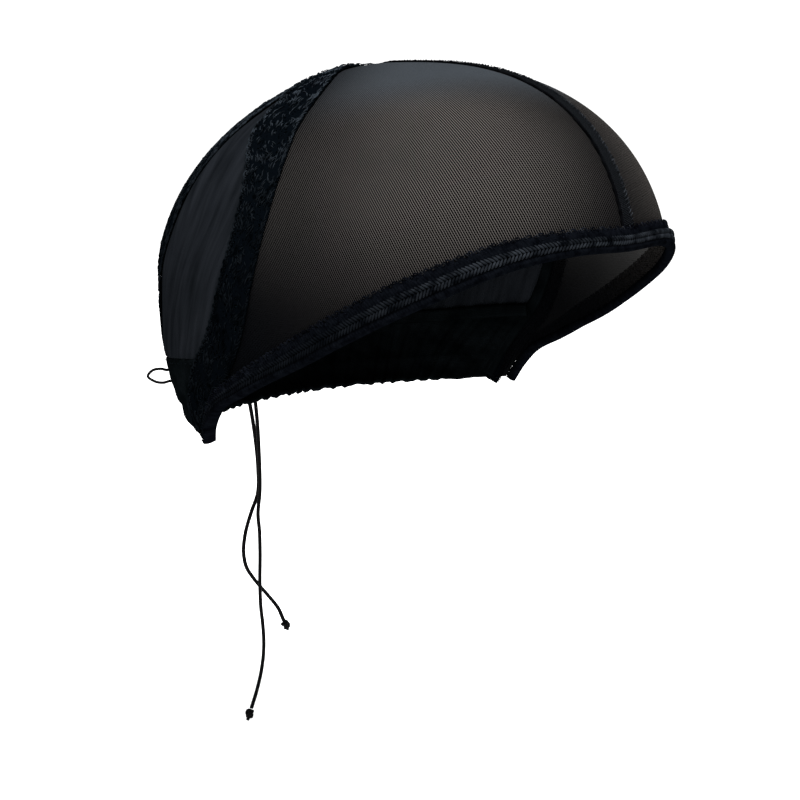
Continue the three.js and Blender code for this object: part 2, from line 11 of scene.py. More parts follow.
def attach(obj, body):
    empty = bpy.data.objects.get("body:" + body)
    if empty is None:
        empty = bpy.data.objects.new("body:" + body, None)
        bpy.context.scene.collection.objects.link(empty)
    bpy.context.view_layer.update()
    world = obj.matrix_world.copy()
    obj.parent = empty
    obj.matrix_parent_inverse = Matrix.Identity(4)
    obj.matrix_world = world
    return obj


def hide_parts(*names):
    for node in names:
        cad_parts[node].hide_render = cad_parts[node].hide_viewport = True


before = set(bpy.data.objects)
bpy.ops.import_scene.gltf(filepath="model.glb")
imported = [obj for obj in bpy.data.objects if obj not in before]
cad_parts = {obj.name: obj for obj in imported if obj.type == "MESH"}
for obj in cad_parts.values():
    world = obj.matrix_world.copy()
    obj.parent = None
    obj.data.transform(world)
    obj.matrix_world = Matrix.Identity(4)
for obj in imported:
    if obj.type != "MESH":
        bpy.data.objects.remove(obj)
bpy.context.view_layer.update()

MM = 0.001

# Dome
HALF_WIDTH = 78 * MM
FRONT_REACH = 102.3 * MM
BACK_REACH = 87.8 * MM
CROWN_RISE = 72.6 * MM
NAPE_DROP = 52 * MM
FRONT_RISE = 14.2 * MM
NAPE_TUCK = 27.4 * MM
EAR_TUCK = 3.1 * MM
CROWN_INSIDE = 71.6 * MM
TUCK_POWER = 4
LOWEST_SHARE = 1.2
PLAN_ROUNDNESS = {"front": 2.1, "back": 2.01}
PROFILES = {"front": (2.43, 2.89), "back": (2.05, 1.42), "side": (1.7, 2.04)}

# Bands and cloth
SEAM_GAP = 0.3 * MM
LAYER_GAP = 0.35 * MM
NET_WALL = 0.4 * MM
NET_RADIUS = 92 * MM
BACK_WALL = 0.8 * MM
NAPE_WALL = 1.5 * MM
LACE_WALL = 0.45 * MM
LACE_SEAT = 0.05 * MM
LACE_TOP = LAYER_GAP + LACE_WALL + 0.05 * MM
LACE_WIDTH = 16 * MM
BACK_LACE_WIDTH = 12 * MM
NAPE_BAND_HEIGHT = 23 * MM
BAND_HEIGHT = 9.5 * MM
BAND_WALL = 2.3 * MM
ROLL_HEIGHT = 2.6 * MM
FOLD_HEIGHT = 1.6 * MM
GATHER_HEIGHT = 1.3 * MM
WELT_WIDTH = 5.2 * MM
NET_FOOT = 3.0 * MM
TAPE_WIDTH = 5 * MM
TAPE_WALL = 0.5 * MM
TAPE_GAP = 0.1 * MM
TAPE_INSET = 0.004
OVER_LACE = 1.35 * MM
RUFFLE_HEIGHT = 0.7 * MM
EDGE_SHARE = 0.75
MIDDLE = 0.5
BACK_LACE_START = 0.455
BACK_LACE_FOOT = 0.2725
NAPE_CORNER_SHARE = 1.3
SHORT_TOP = 0.035

# Stitches, loops and plaits, and how far apart they are
PICOT_PITCH = 3.3 * MM
BORDER_PITCH = 0.8 * MM
SCALLOP_PITCH = 3.4 * MM
SCALLOP_HEIGHT = 0.8 * MM
RIB_PITCH = 1.1 * MM
PLAIT_PITCH = 1.12 * MM
LOOP_PITCH = 1.7 * MM
STITCH_PITCH = 2.4 * MM
OVERLOCK_PITCH = 1.3 * MM
MOTIF_LENGTH = 13 * MM
SWAY_LENGTH = 6.5 * MM
STROKE_LENGTHS = (1.4, 3.1)
STROKE_RADII = (0.13, 0.26)
PICOT_RADIUS = 1.15 * MM
DOT_RADIUS = 0.6 * MM
FUZZ_COUNT = 2600
LOOSE_END_COUNT = 260

# Cells across and down each sheet, and rings along each band
NET_CELLS = (110, 84)
SIDE_CELLS = (90, 110)
CENTRE_CELLS = (150, 120)
NAPE_CELLS = (420, 36)
EAR_LACE_STEPS = 700
BACK_LACE_STEPS = 300
BAND_STEPS = 860
WELT_STEPS = 240
RIDGE_STEPS = 420
TAPE_STEPS = 260

# Net and thread tones, with painted light, shade and sheen
# The share of a thread's tone left where its painted shade is darkest
PAINTED_SHADE_SHARE = 0.15
NET_CENTRE = (-0.72, -0.6, 0.42)
NET_TURN = -28
NET_CROSSING = 68
NET_PITCH = 0.7 * MM
NET_OPENING = 0.08
# Where the net's painted light and shade change, in its own uv: from, to, and the share that is left at
# each. The threads are painted light round NET_CENTRE and painted shade far from it, lower down and
# behind; NET_HIGH and NET_AHEAD place the crown's painted sheen
NET_SPREAD = (35 * MM, 80 * MM, 1.0, 0.15)
NET_LOWER = (-50 * MM, 5 * MM, 0.28, 1.0)
NET_BEHIND = (-35 * MM, 25 * MM, 0.35, 1.0)
NET_HIGH = (28 * MM, 60 * MM, 0.0, 1.0)
NET_AHEAD = (-40 * MM, 12 * MM, 0.12, 1.0)
# Grey-blue painted sheen of the net at the crown, for its threads and its ground
NET_CROWN_SHEEN_THREAD = (0.018, 0.0205, 0.0235)
NET_CROWN_SHEEN_GROUND = (0.0128, 0.0147, 0.017)
NET_GROUND = (0.0002, 0.0002, 0.0003)
FOLD_GROUND = (0.001, 0.001, 0.0012)

# The set, each light with its place, size and power
KEY_LIGHT = ((-0.32, -0.4, 1.15), 0.7, 70)
FILL_LIGHT = ((-0.9, -1.0, 0.5), 0.9, 2)
FLOOR_HEIGHT = -0.275
FLOOR_REACH = 30
WORLD_STRENGTH = 1.25
LIGHT_AIM = (0, 0, -0.03)

# Camera, found from the cap's outline and seams in the photograph
CAMERA_PLACE = (-0.40143, -0.40981, -0.00292)
CAMERA_RIGHT = (0.71134, -0.70279, -0.00922)
CAMERA_VIEW = (0.68785, 0.69879, -0.19638)
CAMERA_ANGLE = 27.56

# Cords
CORD_DIAMETER = 1.6 * MM
LOOP_DIAMETER = 1.0 * MM
KNOT_THREAD = 0.62 * MM
KNOT_RISE = 1.275 * MM
KNOT_CENTRE = 2.1 * MM
KNOT_SPREAD = 0.72
TAIL_REACH = (3.2 * MM, 5.0 * MM)
TAIL_RADIUS = 0.75 * MM
RIGHT_CORD_ROUTE = [
    (-2.5, 82.2, -107.6), (-2.5, 84.2, -108.4), (-2.3, 85.4, -111), (-1.8, 85.2, -115.5),
    (-0.9, 83.8, -123), (0.2, 82.4, -133), (1.4, 81.6, -145), (2.1, 81.3, -157),
    (1.6, 81.3, -167), (-2.1, 81.3, -174.5), (-5.2, 81.3, -182), (-6.5, 81.3, -189.5),
    (-5.4, 81.3, -196), (-2, 81.3, -201.5), (2, 81.3, -206.5), (6.6, 81.3, -212),
    (10.8, 81.3, -217.5), (13.6, 81.3, -223.5),
]
LEFT_CORD_ROUTE = [
    (2.5, 82.2, -107.6), (2.5, 84.2, -108.4), (2.3, 85.2, -111), (1.9, 84.2, -116),
    (1.3, 81.8, -124), (0.8, 79.6, -135), (0.6, 78.6, -149), (0.4, 78.4, -165),
    (-0.9, 78.4, -174.5), (-0.4, 78.4, -182), (-0.4, 78.4, -191), (-0.9, 78.4, -203),
    (-0.8, 78.4, -213), (0, 78.4, -221), (0.3, 78.4, -229), (-0.4, 78.4, -236),
    (-2, 78.4, -242.5), (-4.4, 78.4, -249), (-7.2, 78.4, -255),
]

# Half of the ear to ear lace, crown to right ear: side, back and rise are shares of the
# half width, the back reach and the crown rise or nape drop, and width of the lace's width
LACE_ROWS = [
    (0.0, 0.2, 0.95, 0.95), (0.17, 0.175, 0.94, 0.95), (0.32, 0.11, 0.92, 0.95),
    (0.44, 0.055, 0.875, 1.0), (0.55, 0.025, 0.8, 1.12),
    (0.65, 0.012, 0.71, 1.28), (0.78, -0.055, 0.57, 1.0), (0.87, -0.095, 0.43, 0.84),
    (0.94, -0.107, 0.26, 0.81), (0.985, -0.085, 0.05, 0.85), (0.993, 0.005, -0.33, 0.94),
    (0.972, 0.14, -0.62, 0.9), (0.957, 0.21, -0.82, 0.73), (0.943, 0.25, -1.0, 0.6),
]
# The right back lace: side, back and rise
BACK_LACE_ROWS = [
    (0.4, 0.23, 0.85), (0.53, 0.32, 0.73), (0.64, 0.41, 0.57), (0.73, 0.48, 0.4),
    (0.79, 0.53, 0.2), (0.77, 0.63, 0.0), (0.7, 0.71, -0.27),
]
# The front edge: turn from the front in degrees, rise from nape 0 to front 1, the band's
# height as a share, and 1 where it passes over the ear to ear lace
RIM_ROWS = [
    (0, 1.0, 0.78, 0), (12.4, 0.998, 0.82, 0), (24.6, 0.937, 0.95, 0), (42.2, 0.749, 1.08, 0),
    (55, 0.596, 1.04, 0), (63.6, 0.493, 1.0, 0), (74, 0.386, 0.88, 0), (79, 0.335, 0.8, 1),
    (82.7, 0.296, 0.75, 1), (91, 0.21, 0.62, 1), (95.5, 0.11, 0.45, 1), (98, 0.02, 0.41, 1),
]
# The nape band's upper edge behind the ear: turn, and rise as a share of the band's height
NAPE_TOP_ROWS = [(106, 1.21), (122, 1.08), (145, 0.98), (180, 0.95)]

# Soft folds: from and to down the panel, start and end across it, width, height
SIDE_FOLDS = [
    (0.22, 0.75, 0.66, 0.8, 0.07, 1.0), (0.3, 0.6, 0.48, 0.45, 0.05, 0.55),
    (0.58, 0.97, 0.36, 0.5, 0.06, 0.6), (0.1, 0.5, 0.3, 0.42, 0.04, 0.35),
    (0.68, 0.99, 0.7, 0.64, 0.045, 0.4), (0.45, 0.95, 0.12, 0.2, 0.05, 0.35),
]
CENTRE_FOLDS = [
    (0.45, 0.98, 0.3, 0.26, 0.05, 0.6), (0.5, 0.98, 0.5, 0.5, 0.045, 0.5),
    (0.45, 0.98, 0.7, 0.74, 0.05, 0.6), (0.7, 0.99, 0.4, 0.38, 0.025, 0.35),
    (0.7, 0.99, 0.6, 0.62, 0.025, 0.35), (0.62, 0.99, 0.15, 0.12, 0.03, 0.4),
    (0.62, 0.99, 0.85, 0.88, 0.03, 0.4),
]

random = np.random.default_rng(20)


def make_camera():
    data = bpy.data.cameras.new("camera")
    data.sensor_fit = "HORIZONTAL"
    data.angle = math.radians(CAMERA_ANGLE)
    data.clip_start = 0.01
    camera = bpy.data.objects.new("camera", data)
    view = Vector(CAMERA_VIEW).normalized()
    right = Vector(CAMERA_RIGHT).normalized()
    up = right.cross(view).normalized()
    right = view.cross(up)
    turn = Matrix((right, up, -view)).transposed()
    camera.matrix_world = Matrix.Translation(CAMERA_PLACE) @ turn.to_4x4()
    bpy.context.scene.collection.objects.link(camera)
    bpy.context.scene.camera = camera


def make_cord(name, route):
    data = bpy.data.curves.new(name, "CURVE")
    data.dimensions = "3D"
    data.bevel_depth = CORD_DIAMETER / 2
    data.bevel_resolution = 4
    data.use_fill_caps = True
    points = catmull_rom(np.array(route) * MM, 8 * len(route))[0]
    spline = data.splines.new("POLY")
    spline.points.add(len(points) - 1)
    for place, point in zip(spline.points, points):
        place.co = (*point, 1)
    cord = bpy.data.objects.new(name, data)
    bpy.context.scene.collection.objects.link(cord)
    return cord


def catmull_rom(points, steps):
    """Places along a centripetal curve through the points, and the row that each lies at."""
    ends = [2 * points[0] - points[1], *points, 2 * points[-1] - points[-2]]
    knots = np.array(ends)
    rows = np.linspace(0, len(points) - 1, steps + 1)
    first = np.minimum(rows.astype(int), len(points) - 2)
    along = (rows - first)[:, None]
    a, b, c, d = (knots[first + offset] for offset in range(4))
    gap = [np.linalg.norm(q - p, axis=1, keepdims=True) ** 0.5 for p, q in ((a, b), (b, c), (c, d))]
    start = (b - a) / gap[0] - (c - a) / (gap[0] + gap[1]) + (c - b) / gap[1]
    stop = (c - b) / gap[1] - (d - b) / (gap[1] + gap[2]) + (d - c) / gap[2]
    start = start * gap[1]
    stop = stop * gap[1]
    cubic = 2 * b - 2 * c + start + stop
    square = 3 * c - 3 * b - 2 * start - stop
    return b + start * along + square * along ** 2 + cubic * along ** 3, rows


def reach_at(height):
    up = np.clip(height / CROWN_RISE, 0, 1)
    down = np.clip(-height / NAPE_DROP, 0, LOWEST_SHARE) ** TUCK_POWER
    share = {}
    for side, (rise, reach) in PROFILES.items():
        share[side] = np.maximum(1 - up ** rise, 1e-9) ** (1 / reach)
    side = HALF_WIDTH * share["side"] - EAR_TUCK * down
    return side, FRONT_REACH * share["front"], BACK_REACH * share["back"] - NAPE_TUCK * down


def level_sum(x, y, height):
    """The sum that is 1 on the dome's level section at a height, and the section's power there."""
    side, front, back = reach_at(height)
    is_front = y < 0
    along = np.where(is_front, front, back)
    power = np.where(is_front, PLAN_ROUNDNESS["front"], PLAN_ROUNDNESS["back"])
    return (np.abs(x) / side) ** power + (np.abs(y) / along) ** power, power


def is_outside(points):
    total = level_sum(points[..., 0], points[..., 1], points[..., 2])[0]
    return (total > 1) | (points[..., 2] >= CROWN_RISE)


def on_dome(points):
    """The points of the dome's outer face in line with these points and its centre."""
    inside = np.zeros(points.shape[:-1])
    outside = 4 * BACK_REACH / np.linalg.norm(points, axis=-1)
    for _ in range(30):
        middle = (inside + outside) / 2
        beyond = is_outside(points * middle[..., None])
        outside = np.where(beyond, middle, outside)
        inside = np.where(beyond, inside, middle)
    return points * inside[..., None]


def unit(vectors):
    return vectors / np.maximum(np.linalg.norm(vectors, axis=-1, keepdims=True), 1e-12)


def outward_at(points):
    is_high = np.abs(points[..., 0]) < np.abs(points[..., 2])
    reference = np.where(is_high[..., None], [1.0, 0, 0], [0, 0, 1.0])
    first = unit(np.cross(reference, points))
    second = unit(np.cross(points, first))
    reach = 0.8 * MM
    slope = [on_dome(points + reach * way) - on_dome(points - reach * way) for way in (first, second)]
    outward = unit(np.cross(*slope))
    flip = np.sign(np.sum(outward * points, axis=-1, keepdims=True))
    return outward * flip


def lifted(points, lift):
    return points + outward_at(points) * np.asarray(lift)[..., None]


def from_shares(row):
    side, back, rise = row[:3]
    height = rise * (CROWN_RISE if rise > 0 else NAPE_DROP)
    return on_dome(np.array([-side * HALF_WIDTH, back * BACK_REACH, height]))


def from_turn(turn, height):
    """The dome's points at turns from the front towards the wearer's right, and a height."""
    turn = np.radians(np.asarray(turn, float))
    height = np.broadcast_to(np.asarray(height, float), turn.shape)
    x, y = -np.sin(turn), -np.cos(turn)
    total, power = level_sum(x, y, height)
    radius = total ** (-1 / power)
    return np.stack([x * radius, y * radius, height], axis=-1)


def mirrored(points):
    return np.asarray(points) * [-1, 1, 1]


def both_sides(right):
    """Points of a whole path from the right ear, given its right half from the middle on."""
    right = np.array(right)
    return np.concatenate([right[::-1], mirrored(right[1:])])


class DomePath:
    """A path on the dome. Places along it are shares of its length."""

    def __init__(self, points):
        self.points, self.rows = catmull_rom(np.array(points), 1200)
        steps = np.linalg.norm(np.diff(self.points, axis=0), axis=1)
        self.length = steps.sum()
        self.shares = np.concatenate([[0], np.cumsum(steps)]) / self.length

    def at(self, share):
        share = np.clip(np.asarray(share, float), 0, 1)
        place = [np.interp(share, self.shares, self.points[:, axis]) for axis in range(3)]
        return on_dome(np.stack(place, axis=-1))

    def directions(self, share):
        share = np.asarray(share, float)
        ahead = unit(self.at(share + 0.004) - self.at(share - 0.004))
        sideways = unit(np.cross(ahead, outward_at(self.at(share))))
        return ahead, sideways

    def beside(self, share, across, lift):
        share, across, lift = np.broadcast_arrays(share, across, lift)
        points = self.at(share) + self.directions(share)[1] * across[..., None]
        return lifted(on_dome(points), lift)

    def column(self, values, share):
        """Values of half a path's table, read at shares along the whole path."""
        place = np.interp(share, self.shares, self.rows)
        return np.interp(np.abs(place - (len(values) - 1)), range(len(values)), values)

    def share_at_height(self, height):
        shares = np.linspace(0, MIDDLE, 4001)
        return float(np.interp(height, self.at(shares)[:, 2], shares))


def above_nape(rise):
    return -NAPE_DROP + NAPE_BAND_HEIGHT * rise


def rim_height(rise):
    return -NAPE_DROP + (FRONT_RISE + NAPE_DROP) * rise


rim = DomePath(both_sides([from_turn(turn, rim_height(rise)) for turn, rise, _, _ in RIM_ROWS])[::-1])
lace = DomePath(both_sides([from_shares(row) for row in LACE_ROWS]))
lace_at_nape = lace.share_at_height(above_nape(NAPE_CORNER_SHARE))
lace_at_foot = lace.share_at_height(SEAM_GAP - NAPE_DROP)
nape_points = [from_turn(turn, above_nape(rise)) for turn, rise in reversed(NAPE_TOP_ROWS)]
nape_top = DomePath(both_sides([*nape_points, lace.at(lace_at_nape)]))
back_lace_points = [from_shares(row) for row in BACK_LACE_ROWS]
back_lace = DomePath([lace.at(BACK_LACE_START), *back_lace_points, nape_top.at(BACK_LACE_FOOT)])


# Meshes

def make_object(name, points, faces, uv=None):
    """A smooth mesh object from dome points and faces, with a uv in metres for each point."""
    mesh = bpy.data.meshes.new(name)
    mesh.from_pydata((points + [0, 0, -CROWN_INSIDE]).tolist(), [], faces)
    if uv is not None:
        corners = np.zeros(len(mesh.loops), np.int32)
        mesh.loops.foreach_get("vertex_index", corners)
        layer = mesh.uv_layers.new(name="cloth")
        layer.data.foreach_set("uv", uv[corners].ravel())
    mesh.shade_smooth()
    thing = bpy.data.objects.new(name, mesh)
    bpy.context.scene.collection.objects.link(thing)
    return thing


def grid_faces(rows, columns, offset=0, flip=False):
    corner = (np.arange(rows - 1)[:, None] * columns + np.arange(columns - 1)).ravel() + offset
    faces = np.stack([corner, corner + 1, corner + columns + 1, corner + columns], axis=1)
    return faces[:, ::-1] if flip else faces


def shell(name, outer, inner, uv):
    """A closed sheet between two grids of points."""
    rows, columns = outer.shape[:2]
    layer = rows * columns
    index = np.arange(layer).reshape(rows, columns)
    border = np.concatenate([index[0, :-1], index[:-1, -1], index[-1, :0:-1], index[:0:-1, 0]])
    after = np.roll(border, -1)
    rim_faces = np.stack([border, border + layer, after + layer, after], axis=1)
    faces = np.concatenate([
        grid_faces(rows, columns), grid_faces(rows, columns, layer, flip=True), rim_faces,
    ])
    points = np.concatenate([outer.reshape(-1, 3), inner.reshape(-1, 3)])
    flat = uv.reshape(-1, 2)
    return make_object(name, points, face_outward(points, faces).tolist(), np.concatenate([flat, flat]))


def veil(name, grid, uv):
    """A single sheet over a grid of points, for cloth that is thin and open."""
    rows, columns = grid.shape[:2]
    points = grid.reshape(-1, 3)
    faces = face_outward(points, grid_faces(rows, columns))
    return make_object(name, points, faces.tolist(), uv.reshape(-1, 2))


def face_outward(points, faces):
    a, b, c = (points[faces[:, corner]] for corner in range(3))
    volume = np.sum(a * np.cross(b, c))
    if faces.shape[1] == 4:
        volume += np.sum(a * np.cross(c, points[faces[:, 3]]))
    return faces if volume > 0 else faces[:, ::-1]


def tube_faces(count, size):
    """The side faces of a tube of rings."""
    first = np.arange(count - 1)[:, None] * size
    corner = (first + np.arange(size)).ravel()
    beside = (first + np.roll(np.arange(size), -1)).ravel()
    return np.stack([corner, beside, beside + size, corner + size], axis=1)


def ring_body(name, rings, uv):
    """A closed body through rings of points, capped at both ends."""
    count, size = rings.shape[:2]
    faces = tube_faces(count, size)
    points = rings.reshape(-1, 3)
    turned = face_outward(points, faces)
    first = list(range(size))
    last = [(count - 1) * size + place for place in range(size)]
    if turned[0, 0] == faces[0, 0]:
        first = first[::-1]
    else:
        last = last[::-1]
    return make_object(name, points, [*turned.tolist(), first, last], uv.reshape(-1, 2))


def threads(name, lines, radius, sides=4, taper=1.0, outward=None):
    """Many short threads as one mesh. lines holds the points of each, and outward the side of
    each that faces out, which is the dome's own outward side if it isn't given."""
    count, steps = lines.shape[:2]
    outward = outward_at(lines) if outward is None else np.broadcast_to(outward, lines.shape)
    ahead = unit(np.gradient(lines, axis=1))
    side = unit(np.cross(ahead, outward))
    up = np.cross(side, ahead)
    angle = np.arange(sides) * 2 * np.pi / sides
    middle = np.abs(np.linspace(-1, 1, steps)) ** 2
    narrowing = (1 - (1 - taper) * middle)[:, None, None]
    size = np.reshape(radius, (-1, 1, 1, 1)) * narrowing
    spoke = side[:, :, None] * np.cos(angle)[:, None] + up[:, :, None] * np.sin(angle)[:, None]
    points = (lines[:, :, None] + size * spoke).reshape(-1, 3)
    tube = tube_faces(steps, sides)
    fan = np.array([[0, 2 * j + 1, 2 * j + 2, 2 * j + 3] for j in range(sides // 2 - 1)])
    one = np.concatenate([tube, fan[:, ::-1], fan + (steps - 1) * sides])
    faces = (one[None] + (np.arange(count) * steps * sides)[:, None, None]).reshape(-1, 4)
    ahead_share = np.repeat(np.linspace(0, 1, steps), sides)
    around = np.tile(np.arange(sides) / sides, steps)
    uv = np.tile(np.stack([ahead_share, around], axis=1), (count, 1))
    return make_object(name, points, face_outward(points, faces).tolist(), uv)


def join(name, things):
    """One mesh object from several that share a material."""
    bpy.ops.object.select_all(action="DESELECT")
    for thing in things:
        thing.select_set(True)
    bpy.context.view_layer.objects.active = things[0]
    bpy.ops.object.join()
    things[0].name = name
    things[0].data.name = name
    return things[0]


# Cloth sheets

def straight_on_dome(first, last, share):
    return on_dome(first + (last - first) * np.asarray(share)[..., None])


def matched(edge, share, first, last):
    """An edge whose ends are moved to given points, with the places next to them following."""
    away = ((1 - share) ** 8)[:, None] * (first - edge[0])
    return edge + away + (share ** 8)[:, None] * (last - edge[-1])


def coons(foot, head, start, end):
    """A grid on the dome between four edges. start and end run from the foot up."""
    u = np.linspace(0, 1, len(foot))[None, :, None]
    v = np.linspace(0, 1, len(start))[:, None, None]
    points = foot[None] * (1 - v) + head[None] * v + start[:, None] * (1 - u) + end[:, None] * u
    points = points - foot[0] * (1 - u) * (1 - v) - foot[-1] * u * (1 - v)
    return on_dome(points - head[0] * (1 - u) * v - head[-1] * u * v)


def lengths_uv(grid):
    """A uv in metres from the lengths of a grid's rows and columns."""
    across = np.linalg.norm(np.diff(grid, axis=1), axis=2)
    down = np.linalg.norm(np.diff(grid, axis=0), axis=2)
    u = np.concatenate([np.zeros((len(grid), 1)), np.cumsum(across, axis=1)], axis=1)
    v = np.concatenate([np.zeros((1, grid.shape[1])), np.cumsum(down, axis=0)])
    return np.stack([u - u.mean(axis=1, keepdims=True), v], axis=-1)


def dome_uv(grid, centre):
    """A uv in metres around one place of the dome, with little stretch near it."""
    centre = unit(np.array(centre, float))
    level = unit(np.cross([0, 0, 1.0], centre))
    rise = np.cross(centre, level)
    way = unit(grid)
    turn = np.arccos(np.clip(way @ centre, -1, 1))
    flat = np.stack([way @ level, way @ rise], axis=-1)
    return unit(flat) * (turn * NET_RADIUS)[..., None]


def fold_relief(folds, u, v):
    down = 1 - v
    relief = np.zeros(np.broadcast(u, v).shape)
    for low, high, start, end, width, height in folds:
        along = np.clip((down - low) / (high - low), 0, 1)
        offset = (u - (start + (end - start) * along)) / width
        relief = relief + FOLD_HEIGHT * height * np.sin(np.pi * along) * np.exp(-offset ** 2)
    return relief


def shares_of(across, down):
    """Places across and down a sheet, from its counts of cells."""
    return np.linspace(0, 1, across + 1), np.linspace(0, 1, down + 1)


def cloth_wall(grid, relief, wall):
    """A sheet's outer and inner faces and its uv, from its grid and how far it stands out."""
    return lifted(grid, relief), lifted(grid, relief - wall), lengths_uv(grid)


def make_net():
    """The right front net, from the centre seam round to the ear."""
    u, v = shares_of(*NET_CELLS)
    clear = [-SEAM_GAP / 2, np.inf, np.inf]
    foot = np.minimum(rim.beside(MIDDLE + MIDDLE * u, NET_FOOT, 0), clear)
    head = np.minimum(lace.beside(MIDDLE + (lace_at_foot - MIDDLE) * u, SEAM_GAP / 2, 0), clear)
    start = np.minimum(straight_on_dome(foot[0], head[0], v), clear)
    end = straight_on_dome(foot[-1], head[-1], v)
    grid = coons(foot, head, start, end)
    ripple = net_ripple(u[None, :], v[:, None])
    return lifted(grid, ripple - NET_WALL / 2), dome_uv(grid, NET_CENTRE)


def net_ripple(u, v):
    """Shallow pulls of the net towards the lace band."""
    near_lace = np.clip(u * 1.6 - 0.5, 0, 1) ** 2 * v ** 2 * (1 - v) * 6.75
    return 0.35 * MM * near_lace * np.sin(34 * u + 9 * v)


def make_back_side():
    """The cloth between the ear to ear lace and the right back lace."""
    u, v = shares_of(*SIDE_CELLS)
    gap = SEAM_GAP / 2
    lace_end = BACK_LACE_START + (lace_at_nape - BACK_LACE_START) * SHORT_TOP
    start = lace.beside(lace_at_nape + (lace_end - lace_at_nape) * v, -gap, 0)
    end = back_lace.beside(1 - v * (1 - SHORT_TOP), -gap, 0)
    foot = matched(nape_top.beside(BACK_LACE_FOOT * u, gap, 0), u, start[0], end[0])
    head = straight_on_dome(start[-1], end[-1], u)
    grid = coons(foot, head, start, end)
    relief = fold_relief(SIDE_FOLDS, u[None, :], v[:, None]) + gathers_above(u, v, 9)
    return cloth_wall(grid, relief, BACK_WALL)


def make_back_centre():
    u, v = shares_of(*CENTRE_CELLS)
    gap = SEAM_GAP / 2
    start = back_lace.beside(1 - v, gap, 0)
    end = mirrored(start)
    low = nape_top.beside(BACK_LACE_FOOT + (1 - 2 * BACK_LACE_FOOT) * u, gap, 0)
    high = lace.beside(BACK_LACE_START + (1 - 2 * BACK_LACE_START) * u, -gap, 0)
    grid = coons(matched(low, u, start[0], end[0]), matched(high, u, start[-1], end[-1]), start, end)
    relief = fold_relief(CENTRE_FOLDS, u[None, :], v[:, None]) + gathers_above(u, v, 15)
    return cloth_wall(grid, relief, BACK_WALL)


def gathers_above(u, v, count):
    """Small puckers where the cloth is sewn to the nape band."""
    phase = np.pi * count * (u + 0.012 * np.sin(19 * u))
    near = np.exp(-(v[:, None] / 0.1) ** 1.5) * np.clip(v[:, None] / 0.02, 0.3, 1)
    edge = np.clip(np.minimum(u, 1 - u) / 0.06, 0, 1)
    return 0.7 * MM * near * (np.sin(phase) ** 2 * edge)[None, :]


def make_nape():
    u, v = shares_of(*NAPE_CELLS)
    gap = SEAM_GAP / 2
    start = lace.beside(lace_at_foot + (lace_at_nape - lace_at_foot) * v, -gap, 0)
    end = mirrored(start)
    foot_point = lace.at(lace_at_foot)
    foot_turn = math.degrees(math.atan2(-foot_point[0], -foot_point[1]))
    low = from_turn(foot_turn + (360 - 2 * foot_turn) * u, -NAPE_DROP)
    high = nape_top.beside(u, -gap, 0)
    grid = coons(matched(low, u, start[0], end[0]), matched(high, u, start[-1], end[-1]), start, end)
    return cloth_wall(grid, nape_relief(u[None, :], v[:, None]), NAPE_WALL)


def nape_relief(u, v):
    """Gathers that wander along the band and a drawn cord channel."""
    fade = np.clip(np.minimum(u, 1 - u) / 0.06, 0, 1)
    wander = 0.35 * np.sin(23 * u + 2 * v) + 0.2 * np.sin(57 * u)
    coarse = np.sin(np.pi * (27 * u + wander) + 0.7 * v) ** 2
    fine = np.sin(np.pi * (61 * u + 1.7 * wander) - 1.1 * v) ** 2
    pleat = (0.75 * coarse + 0.3 * fine) * (1 - 0.45 * v)
    channel = 0.55 * np.exp(-((v - 0.16) / 0.1) ** 2)
    pinch = 0.5 * np.exp(-((v - 0.32) / 0.045) ** 2)
    top = np.clip((1 - v) / 0.05, 0.15, 1)
    return GATHER_HEIGHT * fade * (pleat * (1 - pinch) + channel * 0.6) * top


# Bands

def band_body(name, path, shares, across, lift):
    """A closed band along a path, with its section's places across and lifts at each share."""
    rings = path.beside(shares[:, None], across, lift)
    along = np.broadcast_to(shares[:, None] * path.length, across.shape)
    return ring_body(name, rings, np.stack([along, across], axis=-1))


def around(across, under, over):
    """A closed section from a band's two faces, over the same places across it."""
    return np.hstack([across, across[:, ::-1]]), np.hstack([under, over[:, ::-1]])


def flat_section(width, lift, wall, low, high):
    """Across and lift of a flat band, low and high being how far its two edges stand out."""
    places = np.linspace(-0.5, 0.5, 17)
    across = places * (width + high + low) + (high - low) / 2
    crown = 1 - (2 * places) ** 8
    under = np.broadcast_to(lift, across.shape)
    return around(across, under, under + wall * (EDGE_SHARE + (1 - EDGE_SHARE) * crown))


def evenly(path, pitch, first=0.0, last=1.0, offset=0.5):
    """Places along part of a path, about a pitch apart."""
    count = int((last - first) * path.length / pitch)
    return first + (np.arange(count) + offset) * (last - first) / count


def half_at(width, places):
    """Half of a band's width at some places, from its widths evenly along the path."""
    return np.interp(places, np.linspace(0, 1, len(width)), width) / 2


def scallops(path, shares, pitch, height):
    return height * np.abs(np.sin(np.pi * shares * path.length / pitch)) ** 0.6


def loops(path, places, across, lift, radius, way, steps=9):
    """Half round loops that stand out from a band's edge, way telling which edge."""
    angle = np.linspace(0, np.pi, steps)
    share = places[:, None] + np.cos(angle) * radius / path.length
    out = across[:, None] + way * np.sin(angle) * radius
    return path.beside(share, out, lift[:, None])


def strokes(path, places, across, lift, length, turn, bow=0.0, steps=4):
    """Short threads that lie on a band, turn being the angle from the band's own direction."""
    each = (np.broadcast_to(x, places.shape)[:, None] for x in (places, across, lift, length, turn))
    places, across, lift, length, turn = each
    along = np.linspace(-0.5, 0.5, steps)
    share = places + along * (length * np.cos(turn)) / path.length
    out = across + along * (length * np.sin(turn))
    return path.beside(share, out, lift + bow * (1 - (2 * along) ** 2))


